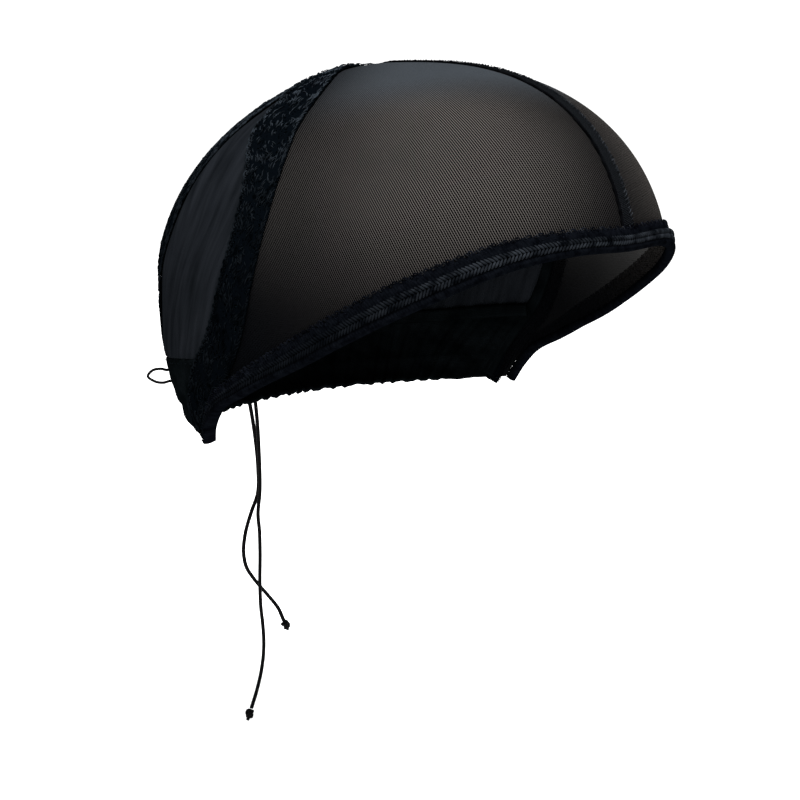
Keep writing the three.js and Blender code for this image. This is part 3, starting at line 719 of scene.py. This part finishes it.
def lace_threads(name, path, first, last, width, lift, picot_ways, density):
    """The lace's raised threads and its picot edges. lift gives the lace's upper face at a place."""
    length = (last - first) * path.length
    parts = []
    count = int(density * length * width.mean() / MM ** 2)
    places = random.uniform(first, last, count)
    half = half_at(width, places)
    across = random.uniform(-0.94, 0.94, count) * half
    along = places * path.length
    motif = np.sin(2 * np.pi * along / MOTIF_LENGTH + 1.6 * np.sin(np.pi * across / half))
    sway = np.sin(2 * np.pi * along / SWAY_LENGTH + across * 500)
    keep = motif + 0.6 * sway + random.normal(0, 0.45, count) > -0.35
    turn = 0.5 * motif * np.sign(across) + random.normal(0, 0.33, count)
    size = random.uniform(*STROKE_LENGTHS, count) * MM
    high = lift(places) + random.uniform(-0.1, 0.15, count) * MM
    lines = strokes(path, places[keep], across[keep], high[keep], size[keep], turn[keep], 0.22 * MM)
    radius = random.uniform(*STROKE_RADII, keep.sum()) * MM
    parts.append(threads(f"{name}_strokes", lines, radius, taper=0.35))
    for way in picot_ways:
        parts.extend(picot_edge(name, path, first, last, width, lift, way))
    return parts


def picot_edge(name, path, first, last, width, lift, way):
    """Round loops along one edge of a lace, with small ones between and inside them."""
    places = evenly(path, PICOT_PITCH, first, last)
    count = len(places)
    across = way * (half_at(width, places) - 0.2 * MM)
    lines = loops(path, places, across, lift(places), PICOT_RADIUS, way)
    big = threads(f"{name}_picots", lines, 0.34 * MM, sides=6, taper=0.9)
    places = np.concatenate([places + 0.5 * (last - first) / count, places])
    across = way * (half_at(width, places) + np.repeat([0, -0.9 * MM], count))
    lines = loops(path, places, across, lift(places), DOT_RADIUS, way, 7)
    return [big, threads(f"{name}_dots", lines, 0.3 * MM, taper=0.9)]


def border_thread(name, path, first, last, width, lift, way):
    """A rough border of short threads along one edge of a band."""
    places = evenly(path, BORDER_PITCH, first, last)
    count = len(places)
    size = random.uniform(1.2, 2.4, count) * MM
    turn = way * random.normal(0.45, 0.4, count)
    across = way * (half_at(width, places) + random.uniform(-0.7, 0.15, count) * MM)
    lines = strokes(path, places, across, lift(places), size, turn, 0.15 * MM)
    return threads(f"{name}_border", lines, 0.2 * MM, taper=0.4)


def make_ear_lace():
    first, last = lace_at_foot, 1 - lace_at_foot
    shares = np.linspace(first, last, EAR_LACE_STEPS)
    column = shares[:, None]
    table = np.linspace(0, 1, 241)
    width = LACE_WIDTH * lace.column([row[3] for row in LACE_ROWS], table)
    back = scallops(lace, column, PICOT_PITCH, 0.5 * MM)
    rough = 0.15 * MM * np.sin(column * 610) * np.sin(column * 263)
    wall = LAYER_GAP - LACE_SEAT + LACE_WALL + crown_ruffle(column)
    section = flat_section(np.interp(column, table, width), LACE_SEAT, wall, back, rough)
    base = band_body("ear_lace", lace, shares, *section)

    def top(share):
        return LACE_TOP + crown_ruffle(share)

    parts = lace_threads("ear_lace", lace, first, last, width, top, (-1,), 0.62)
    parts.append(border_thread("ear_lace", lace, first, last, width, top, 1))
    return base, join("ear_lace_threads", parts)


def crown_ruffle(share):
    """Puckers of the lace where it bends over the crown."""
    off = np.abs(share - MIDDLE)
    near = np.exp(-((off - 0.06) / 0.06) ** 2) + 0.5 * np.exp(-((off - 0.15) / 0.03) ** 2)
    return RUFFLE_HEIGHT * near * (0.5 + 0.5 * np.sin(share * 420 + 2 * np.sin(share * 95)))


def make_back_lace():
    first, last = 0.075, 1 - 1.2 * MM / back_lace.length
    shares = np.linspace(first, last, BACK_LACE_STEPS)
    wave = scallops(back_lace, shares[:, None], PICOT_PITCH, 0.45 * MM)
    section = flat_section(BACK_LACE_WIDTH - 0.6 * MM, LAYER_GAP, LACE_WALL, wave, wave)
    base = band_body("right_back_lace", back_lace, shares, *section)
    width = np.full(2, BACK_LACE_WIDTH)

    def top(share):
        return np.full(len(share), LACE_TOP)

    parts = lace_threads("back_lace", back_lace, first, last, width, top, (-1, 1), 0.6)
    return base, join("right_back_lace_threads", parts)


# Front band

def band_low(shares):
    over = rim.column([row[3] for row in RIM_ROWS], shares)
    return LAYER_GAP + OVER_LACE * over


def band_height(shares):
    return BAND_HEIGHT * rim.column([row[2] for row in RIM_ROWS], shares)


def band_edge(shares):
    """How far the band's upper edge stands out in scallops."""
    return scallops(rim, shares, SCALLOP_PITCH, SCALLOP_HEIGHT)


def make_band_body():
    shares = np.linspace(0, 1, BAND_STEPS)
    column = shares[:, None]
    low = band_low(column)
    height = band_height(column)
    high = low + BAND_WALL * 0.8
    top = height + band_edge(column) - 0.9 * MM
    near_top = 0.94 * height + band_edge(column) - 0.9 * MM
    roll = ROLL_HEIGHT
    rib = 0.12 * MM * np.sin(2 * np.pi * column * rim.length / RIB_PITCH)
    inside = -0.8 * MM
    rows = [
        (0.25 * roll, inside), (0.02 * roll, 0.5 * inside), (-0.02 * roll, 0.3 * high),
        (0.06 * roll, 0.75 * high + rib), (0.3 * roll, 1.08 * high + rib),
        (0.62 * roll, 1.1 * high + rib), (0.95 * roll, 0.82 * high + rib),
        (roll + 0.04 * height, 0.62 * high + 0.2 * low), (0.45 * height, 0.72 * high),
        (0.62 * height, 0.68 * high + 0.1 * low), (0.8 * height, 0.5 * high + 0.4 * low),
        (near_top, 0.35 * high + 0.6 * low), (top, low + 0.15 * MM),
        (top, low), (0.6 * height, low), (roll + 0.01 * height, low), (roll, inside),
    ]
    across, lift = (np.hstack([np.broadcast_to(x, low.shape) for x in side]) for side in zip(*rows))
    return band_body("front_elastic", rim, shares, across, lift)


def make_braid():
    """Two rows of slanted plaits that meet in chevrons along the middle of the band."""
    places = evenly(rim, PLAIT_PITCH)
    height = band_height(places)
    top = band_low(places) + BAND_WALL * 0.8 - 0.12 * MM
    radius = 0.4 * MM * (0.55 + 0.45 * height / BAND_HEIGHT)
    parts = []
    for way, middle in ((1, 0.56), (-1, 0.385)):
        turn = way * 0.82 + random.normal(0, 0.05, len(places))
        lines = strokes(rim, places, height * middle, top, 0.26 * height, turn, 0.28 * MM, 5)
        parts.append(threads(f"braid_{middle}", lines, radius, sides=6, taper=0.55))
    return parts


def make_band_fringe():
    """The fuzzy scalloped edge above the braid."""
    places = evenly(rim, LOOP_PITCH)
    across = band_height(places) + band_edge(places) - 1.1 * MM
    lines = loops(rim, places, across, band_low(places) + 0.35 * MM, 0.75 * MM, 1, 7)
    edge = threads("fringe_loops", lines, 0.24 * MM, taper=0.9)
    count = FUZZ_COUNT
    places = random.uniform(0.004, 0.996, count)
    share = random.uniform(0.64, 1.0, count)
    across = share * (band_height(places) + band_edge(places) - 0.9 * MM)
    top = band_low(places) + (0.25 + 1.1 * (1 - share)) * MM + random.uniform(0, 0.25, count) * MM
    turn = random.normal(1.2, 0.75, count)
    size = random.uniform(0.8, 1.6, count) * MM
    lines = strokes(rim, places, across, top, size, turn, 0.2 * MM)
    return [edge, threads("fringe_fuzz", lines, 0.15 * MM, taper=0.4)]


def make_band_stitches():
    """The row of small stitches that holds the band's upper edge."""
    places = evenly(rim, SCALLOP_PITCH, offset=0.25)
    across = band_height(places) - 0.2 * MM
    lines = strokes(rim, places, across, band_low(places) + 0.55 * MM, 1.5 * MM, 1.05, 0.18 * MM)
    return threads("front_stitches", lines, 0.17 * MM, taper=0.6)


# Centre seam

def welt_path():
    foot = rim.beside(MIDDLE, BAND_HEIGHT * RIM_ROWS[0][2] + SEAM_GAP, 0)
    head = lace.beside(MIDDLE, LACE_WIDTH / 2 + SEAM_GAP, 0)
    return DomePath(on_dome(foot + (head - foot) * np.linspace(0, 1, 9)[:, None]))


def make_welt():
    """The seam's path and its allowance, turned to the wearer's left and stitched flat."""
    path = welt_path()
    shares = np.linspace(0, 1, WELT_STEPS)
    column = shares[:, None]
    places = np.linspace(0.1, 1, 12)
    ragged = 0.25 * MM * np.sin(column * 310) * np.sin(column * 121)
    across = places * (WELT_WIDTH + ragged)
    under = 0.1 * MM + 0.12 * MM * np.sin(column * 190) * places
    section = around(across, under, under + 0.35 * MM)
    return path, band_body("seam_allowance", path, shares, *section)


def make_seam_ridge(path):
    """The raised seam itself, drawn tight by its stitches."""
    shares = np.linspace(0.002, 0.998, RIDGE_STEPS)
    angle = np.linspace(0, 2 * np.pi, 9)[:-1]
    tight = 1 - 0.2 * np.abs(np.sin(np.pi * shares * path.length / STITCH_PITCH))[:, None] ** 4
    across = 0.5 * MM * np.cos(angle) * tight
    lift = 0.1 * MM + 0.45 * MM * np.sin(angle) * tight
    return band_body("seam_ridge", path, shares, across, lift)


def make_welt_stitches(path):
    """The overlock along the allowance's cut edge, with loose thread ends."""
    places = evenly(path, OVERLOCK_PITCH)
    size = random.uniform(1.6, 2.3, len(places)) * MM
    turn = random.normal(1.0, 0.3, len(places))
    lines = strokes(path, places, WELT_WIDTH - 0.8 * MM, 0.5 * MM, size, turn, 0.25 * MM)
    overlock = threads("welt_overlock", lines, 0.14 * MM, taper=0.5)
    count = LOOSE_END_COUNT
    places = random.uniform(0.01, 0.99, count)
    across = WELT_WIDTH + random.normal(-0.3, 0.35, count) * MM
    size = random.uniform(0.6, 1.2, count) * MM
    turn = random.uniform(0, 3.1, count)
    lines = strokes(path, places, across, 0.4 * MM, size, turn, 0.2 * MM)
    return join("seam_stitches", [overlock, threads("welt_fuzz", lines, 0.09 * MM, taper=0.4)])


# Inside

def make_tape(name, path, first, last, depth):
    """A narrow tape sewn over a seam on the inside."""
    shares = np.linspace(first, last, TAPE_STEPS)
    places = np.linspace(-0.5, 0.5, 9)
    shape = (len(shares), len(places))
    across = np.broadcast_to(places * TAPE_WIDTH, shape)
    over = np.full(shape, -depth)
    under = over - TAPE_WALL * (1 - (2 * places) ** 6)
    return band_body(name, path, shares, *around(across, over, under))


# Nape details

def make_nape_stitches():
    """The stitched line below the nape band's upper edge."""
    places = evenly(nape_top, STITCH_PITCH)
    level = 0.35 * MM + nape_relief(places, 0.93)
    lines = strokes(nape_top, places, -1.5 * MM, level, 1.6 * MM, 0, 0.1 * MM)
    return threads("nape_stitches", lines, 0.16 * MM, taper=0.6)


def make_loop():
    """The small cord loop behind the right ear, on its CAD path."""
    root_height = -34.5 * MM
    opening = 4 * MM
    reach = 7 * MM
    roots = [from_turn(127, root_height + side * opening / 2) for side in (1, -1)]
    outward = unit(outward_at(roots[0]) * [1, 1, 0])
    clear = 1.4 * MM
    middle = (roots[0] + roots[1]) / 2
    rows = [
        (0, -0.6 * MM, 0.5), (0, clear, 0.5), (0, clear + 0.3 * reach, 0.62),
        (0, clear + 0.7 * reach, 0.5), (None, clear + reach, 0), (1, clear + 0.7 * reach, -0.5),
        (1, clear + 0.3 * reach, -0.62), (1, clear, -0.5), (1, -0.6 * MM, -0.5),
    ]
    points = []
    for root, out, rise in rows:
        base = np.array(middle if root is None else roots[root])
        base[2] = middle[2] + rise * opening
        points.append(base + outward * out)
    line = catmull_rom(np.array(points), 60)[0]
    return threads("cord_loop", line[None], LOOP_DIAMETER / 2, sides=8, outward=(0.3, 0.8, 0.5))


def make_knot(name, route):
    """A tight overhand knot at the end of a cord, with its short tail."""
    before, last = np.array(route[-2:]) * MM + [0, 0, CROWN_INSIDE]
    ahead = unit(last - before)
    side = unit(np.cross(ahead, [0, 1.0, 0]))
    depth = np.cross(ahead, side)
    angle = np.linspace(0, 2 * np.pi, 61)
    ring = KNOT_SPREAD * KNOT_THREAD * (2 + np.cos(3 * angle))[:, None]
    turns = ring * (np.cos(2 * angle)[:, None] * side + np.sin(2 * angle)[:, None] * depth)
    rise = KNOT_RISE * np.sin(3 * angle)[:, None] * ahead
    line = last + ahead * KNOT_CENTRE + turns + rise
    body = threads(f"{name}_turns", line[None], KNOT_THREAD, 8, outward=ahead)
    tail = last + ahead * np.linspace(*TAIL_REACH, 6)[:, None]
    return join(name, [body, threads(f"{name}_tail", tail[None], TAIL_RADIUS, 8, 0.8, side)])


def mirror_copy(thing, name):
    """The same mesh on the other side of the cap."""
    mesh = thing.data.copy()
    mesh.transform(Matrix.Scale(-1, 4, (1, 0, 0)))
    mesh.flip_normals()
    mesh.name = name
    other = bpy.data.objects.new(name, mesh)
    bpy.context.scene.collection.objects.link(other)
    return other


# Materials

class Shader:
    """A material and short calls that add nodes to it."""

    def __init__(self, name, roughness, specular):
        self.material = bpy.data.materials.new(name)
        self.material.use_nodes = True
        self.tree = self.material.node_tree
        self.surface = self.tree.nodes["Principled BSDF"]
        self.surface.inputs["Roughness"].default_value = roughness
        self.surface.inputs["Specular IOR Level"].default_value = specular

    def node(self, kind, **settings):
        node = self.tree.nodes.new(kind)
        for name, value in settings.items():
            setattr(node, name, value)
        return node

    def link(self, source, target):
        self.tree.links.new(source, target)

    def feed(self, socket, value):
        if isinstance(value, bpy.types.NodeSocket):
            self.link(value, socket)
        else:
            socket.default_value = value

    def math(self, operation, *values):
        node = self.node("ShaderNodeMath", operation=operation)
        for socket, value in zip(node.inputs, values):
            self.feed(socket, value)
        return node.outputs[0]

    def cloth(self):
        node = self.node("ShaderNodeUVMap", uv_map="cloth")
        return node.outputs["UV"]

    def place(self):
        return self.node("ShaderNodeTexCoord").outputs["Object"]

    def scaled(self, vector, scale, turn=0.0):
        node = self.node("ShaderNodeMapping")
        self.link(vector, node.inputs["Vector"])
        node.inputs["Scale"].default_value = scale
        node.inputs["Rotation"].default_value = (0, 0, turn)
        return node.outputs["Vector"]

    def noise(self, vector, scale, detail=3.0, roughness=0.55):
        node = self.node("ShaderNodeTexNoise")
        self.link(vector, node.inputs["Vector"])
        node.inputs["Scale"].default_value = scale
        node.inputs["Detail"].default_value = detail
        node.inputs["Roughness"].default_value = roughness
        return node.outputs["Fac"]

    def span(self, value, low, high, new_low=0.0, new_high=1.0, smooth=False):
        node = self.node("ShaderNodeMapRange")
        node.interpolation_type = "SMOOTHSTEP" if smooth else "LINEAR"
        self.link(value, node.inputs["Value"])
        for place, number in enumerate((low, high, new_low, new_high), start=1):
            node.inputs[place].default_value = number
        return node.outputs["Result"]

    def blend(self, share, first, second):
        node = self.node("ShaderNodeMix", data_type="RGBA")
        self.feed(node.inputs[0], share)
        self.feed(node.inputs[6], first if not isinstance(first, tuple) else (*first, 1))
        self.feed(node.inputs[7], second if not isinstance(second, tuple) else (*second, 1))
        return node.outputs[2]

    def bump(self, height, distance):
        node = self.node("ShaderNodeBump")
        node.inputs["Distance"].default_value = distance
        node.inputs["Strength"].default_value = 1.0
        self.link(height, node.inputs["Height"])
        self.link(node.outputs[0], self.surface.inputs["Normal"])

    def colour(self, source):
        self.link(source, self.surface.inputs["Base Color"])

    def mottled(self, value, low, high, first, last):
        """A colour between first and last where a value goes from low to high."""
        self.colour(self.blend(self.span(value, low, high), first, last))

    def stripes(self, vector, pitch, turn, wobble, width):
        """Round threads at a turn: 1 on a thread's middle, 0 between the threads."""
        node = self.node("ShaderNodeSeparateXYZ")
        self.link(self.scaled(vector, (1 / pitch, 1 / pitch, 1 / pitch), turn), node.inputs[0])
        moved = self.math("ADD", node.outputs["X"], wobble)
        saw = self.math("PINGPONG", moved, 0.5)
        return self.span(saw, 0.5 - width, 0.5 - width * 0.35, smooth=True)


def net_material(name, shaded_thread, lit_thread, ground):
    """Fine net of crossing threads that is a little open between them. Its threads are painted lightest
    in the middle of a panel, a painted light, and dark towards the lace and the band, a painted shade;
    at the crown they are smooth and grey-blue, a painted sheen."""
    shader = Shader(name, roughness=0.7, specular=0.0)
    cloth = shader.cloth()
    drift = shader.noise(cloth, 260.0, 2.0)
    wobble = shader.span(drift, 0.3, 0.7, -0.08, 0.08)
    steep = shader.stripes(cloth, NET_PITCH, math.radians(NET_TURN), wobble, 0.23)
    shallow = shader.stripes(cloth, NET_PITCH, math.radians(NET_TURN - NET_CROSSING), wobble, 0.17)
    crossing = shader.math("MAXIMUM", steep, shader.math("MULTIPLY", shallow, 0.3))
    away = shader.node("ShaderNodeVectorMath", operation="LENGTH")
    shader.link(cloth, away.inputs[0])
    place = shader.node("ShaderNodeSeparateXYZ")
    shader.link(cloth, place.inputs[0])
    # Painted light and shade: the threads are lit round NET_CENTRE and shaded far from it, lower down
    # and behind
    spread = shader.span(away.outputs["Value"], *NET_SPREAD, smooth=True)
    lower = shader.span(place.outputs["Y"], *NET_LOWER, smooth=True)
    behind = shader.span(place.outputs["X"], *NET_BEHIND, smooth=True)
    cloud = shader.span(shader.noise(cloth, 28.0, 3.0), 0.3, 0.7, 0.85, 1.0)
    edges = shader.math("MULTIPLY", behind, shader.math("MULTIPLY", spread, lower))
    # This share paints the light and shade on the threads, and also opens the net's holes
    painted_light_and_opening = shader.math("MULTIPLY", cloud, edges)
    # The crown's painted sheen: where this mask is 1, threads and ground take its grey-blue tones
    high = shader.span(place.outputs["Y"], *NET_HIGH, smooth=True)
    ahead = shader.span(place.outputs["X"], *NET_AHEAD, smooth=True)
    crown = shader.math("MULTIPLY", high, ahead)
    thread = shader.blend(crown, shader.blend(painted_light_and_opening, shaded_thread, lit_thread), NET_CROWN_SHEEN_THREAD)
    gap = shader.blend(crown, ground, NET_CROWN_SHEEN_GROUND)
    shader.colour(shader.blend(crossing, gap, thread))
    holes = shader.math("MULTIPLY", painted_light_and_opening, shader.span(crossing, 0.0, 0.6, NET_OPENING, 0.0))
    shader.link(shader.math("SUBTRACT", 1.0, holes), shader.surface.inputs["Alpha"])
    shader.bump(crossing, 0.15 * MM)
    return shader.material


def satin_material(name):
    """Smooth stretch cloth with a faint rib, random patches of tone and slow streaks of painted sheen
    in its colour.
    """
    shader = Shader(name, roughness=0.5, specular=0.0)
    cloth = shader.cloth()
    # Slow streaks of painted sheen, mixed below with random patches of tone
    painted_sheen_streak = shader.noise(shader.scaled(cloth, (260.0, 22.0, 1.0)), 1.0, 4.0)
    patch = shader.noise(cloth, 30.0, 4.0)
    sheen_and_patches = shader.math("MULTIPLY_ADD", painted_sheen_streak, 0.6, shader.math("MULTIPLY", patch, 0.4))
    shader.mottled(sheen_and_patches, 0.38, 0.64, (0.002, 0.0024, 0.003), (0.0054, 0.0062, 0.0076))
    shader.link(shader.span(sheen_and_patches, 0.3, 0.7, 0.42, 0.56), shader.surface.inputs["Roughness"])
    rib = shader.stripes(cloth, 0.5 * MM, 0.0, 0.0, 0.4)
    grain = shader.noise(cloth, 1500.0, 2.0)
    shader.bump(shader.math("ADD", rib, grain), 0.03 * MM)
    return shader.material


def ribbed_material(name, roughness, patch_scale, low, high, rib, grain_scale, depth):
    """Matte cloth with dark patches, ribs and a fine grain. rib gives the ribs' pitch, their turn
    in degrees and their share of the relief."""
    shader = Shader(name, roughness, specular=0.0)
    cloth = shader.cloth()
    shader.mottled(shader.noise(cloth, *patch_scale), 0.35, 0.65, low, high)
    pitch, turn, share = rib
    ribs = shader.stripes(cloth, pitch, math.radians(turn), 0.0, 0.45)
    grain = shader.noise(cloth, *grain_scale)
    shader.bump(shader.math("MULTIPLY_ADD", ribs, share, grain), depth)
    return shader.material


def lace_ground_material(name):
    """Near black lace ground with small open cells."""
    shader = Shader(name, roughness=0.85, specular=0.0)
    cloth = shader.cloth()
    cells = shader.node("ShaderNodeTexVoronoi", feature="DISTANCE_TO_EDGE")
    shader.link(cloth, cells.inputs["Vector"])
    cells.inputs["Scale"].default_value = 620.0
    threads_share = shader.span(cells.outputs["Distance"], 0.16, 0.3, 1.0, 0.0, smooth=True)
    patch = shader.span(shader.noise(cloth, 120.0, 3.0), 0.42, 0.56, 0.25, 1.0, smooth=True)
    cover = shader.math("MAXIMUM", threads_share, patch)
    shader.colour(shader.blend(cover, (0.0002, 0.0004, 0.0005), (0.0005, 0.0008, 0.0012)))
    shader.link(shader.span(cover, 0.0, 1.0, 0.9, 1.0), shader.surface.inputs["Alpha"])
    shader.bump(cover, 0.25 * MM)
    return shader.material


def thread_material(name, low, high, roughness=0.55, scale=260.0, fade=None):
    """Sewing and lace thread, whose colour changes from place to place. fade names an axis and the two
    places along it between which the thread goes from a painted shade to its own tone."""
    shader = Shader(name, roughness=roughness, specular=0.0)
    place = shader.place()
    tone = shader.span(shader.noise(place, scale, 3.0), 0.36, 0.66)
    if fade:
        axis, dark, light = fade
        node = shader.node("ShaderNodeSeparateXYZ")
        shader.link(place, node.inputs[0])
        # Painted shade: the thread darkens towards the dark place along the axis
        painted_axis_shade = shader.span(node.outputs[axis], dark, light, PAINTED_SHADE_SHARE, 1.0, smooth=True)
        tone = shader.math("MULTIPLY", tone, painted_axis_shade)
    shader.colour(shader.blend(tone, low, high))
    fine = shader.noise(place, 5200.0, 2.0)
    shader.bump(fine, 0.06 * MM)
    return shader.material


def cord_material(name):
    """Smooth cord with a fine slanting twist."""
    shader = Shader(name, roughness=0.45, specular=0.02)
    place = shader.place()
    node = shader.node("ShaderNodeTexWave", wave_type="BANDS", bands_direction="DIAGONAL")
    shader.link(place, node.inputs["Vector"])
    node.inputs["Scale"].default_value = 650.0
    node.inputs["Distortion"].default_value = 1.5
    shader.colour(shader.blend(node.outputs["Fac"], (0.0005, 0.0005, 0.0006), (0.0018, 0.0018, 0.002)))
    shader.bump(node.outputs["Fac"], 0.12 * MM)
    return shader.material


def dress(thing, material):
    thing.data.materials.clear()
    thing.data.materials.append(material)
    return thing


def finish_piece(thing, material, slot, *nodes):
    """Gives a piece its material, and lets it ride and stand for its CAD nodes. slot is not used."""
    dress(thing, material)
    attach(thing, "root")
    if nodes:
        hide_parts(*nodes)
    return thing


# The set

def make_floor():
    material = Shader("floor", roughness=0.9, specular=0.1)
    tone = material.span(material.noise(material.place(), 3.0), 0.3, 0.7)
    material.colour(material.blend(tone, (0.88, 0.88, 0.88), (0.92, 0.92, 0.92)))
    edge = np.linspace(-FLOOR_REACH, FLOOR_REACH, 3)
    points = np.stack(np.broadcast_arrays(edge[None, :], edge[:, None], 0.0), axis=-1).reshape(-1, 3)
    points = points + [0, 0, FLOOR_HEIGHT + CROWN_INSIDE]
    floor = make_object("floor", points, grid_faces(3, 3).tolist())
    dress(floor, material.material)


def make_light(name, place, size, power):
    data = bpy.data.lights.new(name, "AREA")
    data.shape = "DISK"
    data.size = size
    data.energy = power
    light = bpy.data.objects.new(name, data)
    light.location = place
    light.rotation_euler = (Vector(LIGHT_AIM) - Vector(place)).to_track_quat("-Z", "Y").to_euler()
    bpy.context.scene.collection.objects.link(light)


def make_world(strength):
    world = bpy.data.worlds.new("studio")
    world.use_nodes = True
    background = world.node_tree.nodes["Background"]
    background.inputs["Color"].default_value = (1, 1, 1, 1)
    background.inputs["Strength"].default_value = strength
    bpy.context.scene.world = world


# The cap

make_camera()
right_cord = make_cord("right_cord", RIGHT_CORD_ROUTE)
left_cord = make_cord("left_cord", LEFT_CORD_ROUTE)

# The net's threads go from a dark blue-black, painted shade, to a light brown, painted light
net_cloth = net_material("net", (0.0014, 0.0018, 0.0024), (0.0525, 0.0478, 0.0442), NET_GROUND)
# The folded allowance takes the same painted light and shade in darker tones
folded_net = net_material("folded_net", (0.002, 0.0025, 0.003), (0.005, 0.006, 0.007), FOLD_GROUND)
back_cloth = satin_material("back_cloth")
nape_cloth = ribbed_material("nape_cloth", 0.8, (90.0, 5.0), (0.0004, 0.0006, 0.0007),
                             (0.0014, 0.0019, 0.0022), (0.65 * MM, 90, 0.6), (1300.0, 3.0), 0.08 * MM)
lace_ground = lace_ground_material("lace")
# Lace threads with painted shade, darker towards the bottom
lace_thread = thread_material("lace_thread", (0.0002, 0.0004, 0.0006), (0.0145, 0.018, 0.0225),
                              fade=("Z", -58 * MM, 10 * MM))
braid_ground = ribbed_material("front_braid", 0.75, (420.0, 3.0), (0.0004, 0.0005, 0.0008),
                               (0.0013, 0.0016, 0.0023), (0.9 * MM, 20, 1.0), (2200.0, 2.0), 0.12 * MM)
# Braid threads with painted shade, darker away from the front
braid_thread = thread_material("braid_thread", (0.0007, 0.0009, 0.0013), (0.009, 0.0105, 0.0128), 0.5,
                               fade=("Y", -40 * MM, -92 * MM))
fringe_thread = thread_material("fringe_thread", (0.0005, 0.0006, 0.001), (0.0025, 0.003, 0.0045), 0.7)
# Stitch thread with the same painted shade, darker away from the front
stitch_thread = thread_material("stitch_thread", (0.001, 0.0012, 0.0015), (0.011, 0.012, 0.014), 0.5,
                                fade=("Y", -40 * MM, -92 * MM))
welt_thread = thread_material("welt_thread", (0.003, 0.0036, 0.0044), (0.015, 0.017, 0.0195), 0.6)
dark_seam = thread_material("seam_thread", (0.0003, 0.0003, 0.0004), (0.0011, 0.0012, 0.0015), 0.7)
cord_cloth = cord_material("cord")

net_right = veil("right_net", *make_net())
net_left = mirror_copy(net_right, "left_net")
side_right = shell("right_back_cloth", *make_back_side())
side_left = mirror_copy(side_right, "left_back_cloth")
centre = shell("centre_back_cloth", *make_back_centre())
nape = shell("gathered_nape", *make_nape())
ear_lace, ear_lace_threads = make_ear_lace()
back_lace_right, back_lace_right_threads = make_back_lace()
back_lace_left = mirror_copy(back_lace_right, "left_back_lace")
back_lace_left_threads = mirror_copy(back_lace_right_threads, "left_back_lace_threads")
band = make_band_body()
braid = join("front_braid", make_braid())
fringe = join("front_fringe", make_band_fringe())
band_stitches = make_band_stitches()
seam, welt = make_welt()
ridge = make_seam_ridge(seam)
welt_stitches = make_welt_stitches(seam)
nape_stitches = make_nape_stitches()
tape_start = lace_at_foot + TAPE_INSET
nape_tape = make_tape("nape_tape", nape_top, TAPE_INSET, 1 - TAPE_INSET, NAPE_WALL + TAPE_GAP)
ear_tape = make_tape("ear_tape", lace, tape_start, 1 - tape_start, BACK_WALL + TAPE_GAP)
right_tape = make_tape("right_back_tape", back_lace, 0.02, 0.985, BACK_WALL + TAPE_GAP)
left_tape = mirror_copy(right_tape, "left_back_tape")
loop = make_loop()
right_knot = make_knot("right_knot", RIGHT_CORD_ROUTE)
left_knot = make_knot("left_knot", LEFT_CORD_ROUTE)

finish_piece(net_right, net_cloth, "net", "front_net_right")
finish_piece(net_left, net_cloth, "net", "front_net_left")
finish_piece(side_right, back_cloth, "back_cloth", "back_panel_right")
finish_piece(side_left, back_cloth, "back_cloth", "back_panel_left")
finish_piece(centre, back_cloth, "back_cloth", "back_panel_centre")
finish_piece(nape, nape_cloth, "nape_cloth", "nape_band")
finish_piece(ear_lace, lace_ground, "lace", "ear_to_ear_lace")
finish_piece(ear_lace_threads, lace_thread, "lace")
finish_piece(back_lace_right, lace_ground, "lace", "back_lace_right")
finish_piece(back_lace_right_threads, lace_thread, "lace")
finish_piece(back_lace_left, lace_ground, "lace", "back_lace_left")
finish_piece(back_lace_left_threads, lace_thread, "lace")
finish_piece(band, braid_ground, "front_braid", "front_band")
finish_piece(braid, braid_thread, "front_braid")
finish_piece(fringe, fringe_thread, "front_braid")
finish_piece(band_stitches, stitch_thread, "front_braid")
finish_piece(welt, folded_net, "net", "centre_seam_welt")
finish_piece(ridge, dark_seam, "net")
finish_piece(welt_stitches, welt_thread, "net")
finish_piece(nape_stitches, lace_thread, "nape_cloth")
finish_piece(nape_tape, nape_cloth, "nape_cloth")
finish_piece(ear_tape, nape_cloth, "nape_cloth")
finish_piece(right_tape, nape_cloth, "nape_cloth")
finish_piece(left_tape, nape_cloth, "nape_cloth")
finish_piece(loop, cord_cloth, "cord", "nape_loop")
finish_piece(right_cord, cord_cloth, "cord", "draw_cord_right")
finish_piece(left_cord, cord_cloth, "cord", "draw_cord_left")
finish_piece(right_knot, cord_cloth, "cord", "cord_knot_right")
finish_piece(left_knot, cord_cloth, "cord", "cord_knot_left")

make_floor()
make_world(WORLD_STRENGTH)
make_light("key", *KEY_LIGHT)
make_light("fill", *FILL_LIGHT)
bpy.context.scene.view_settings.view_transform = "Standard"
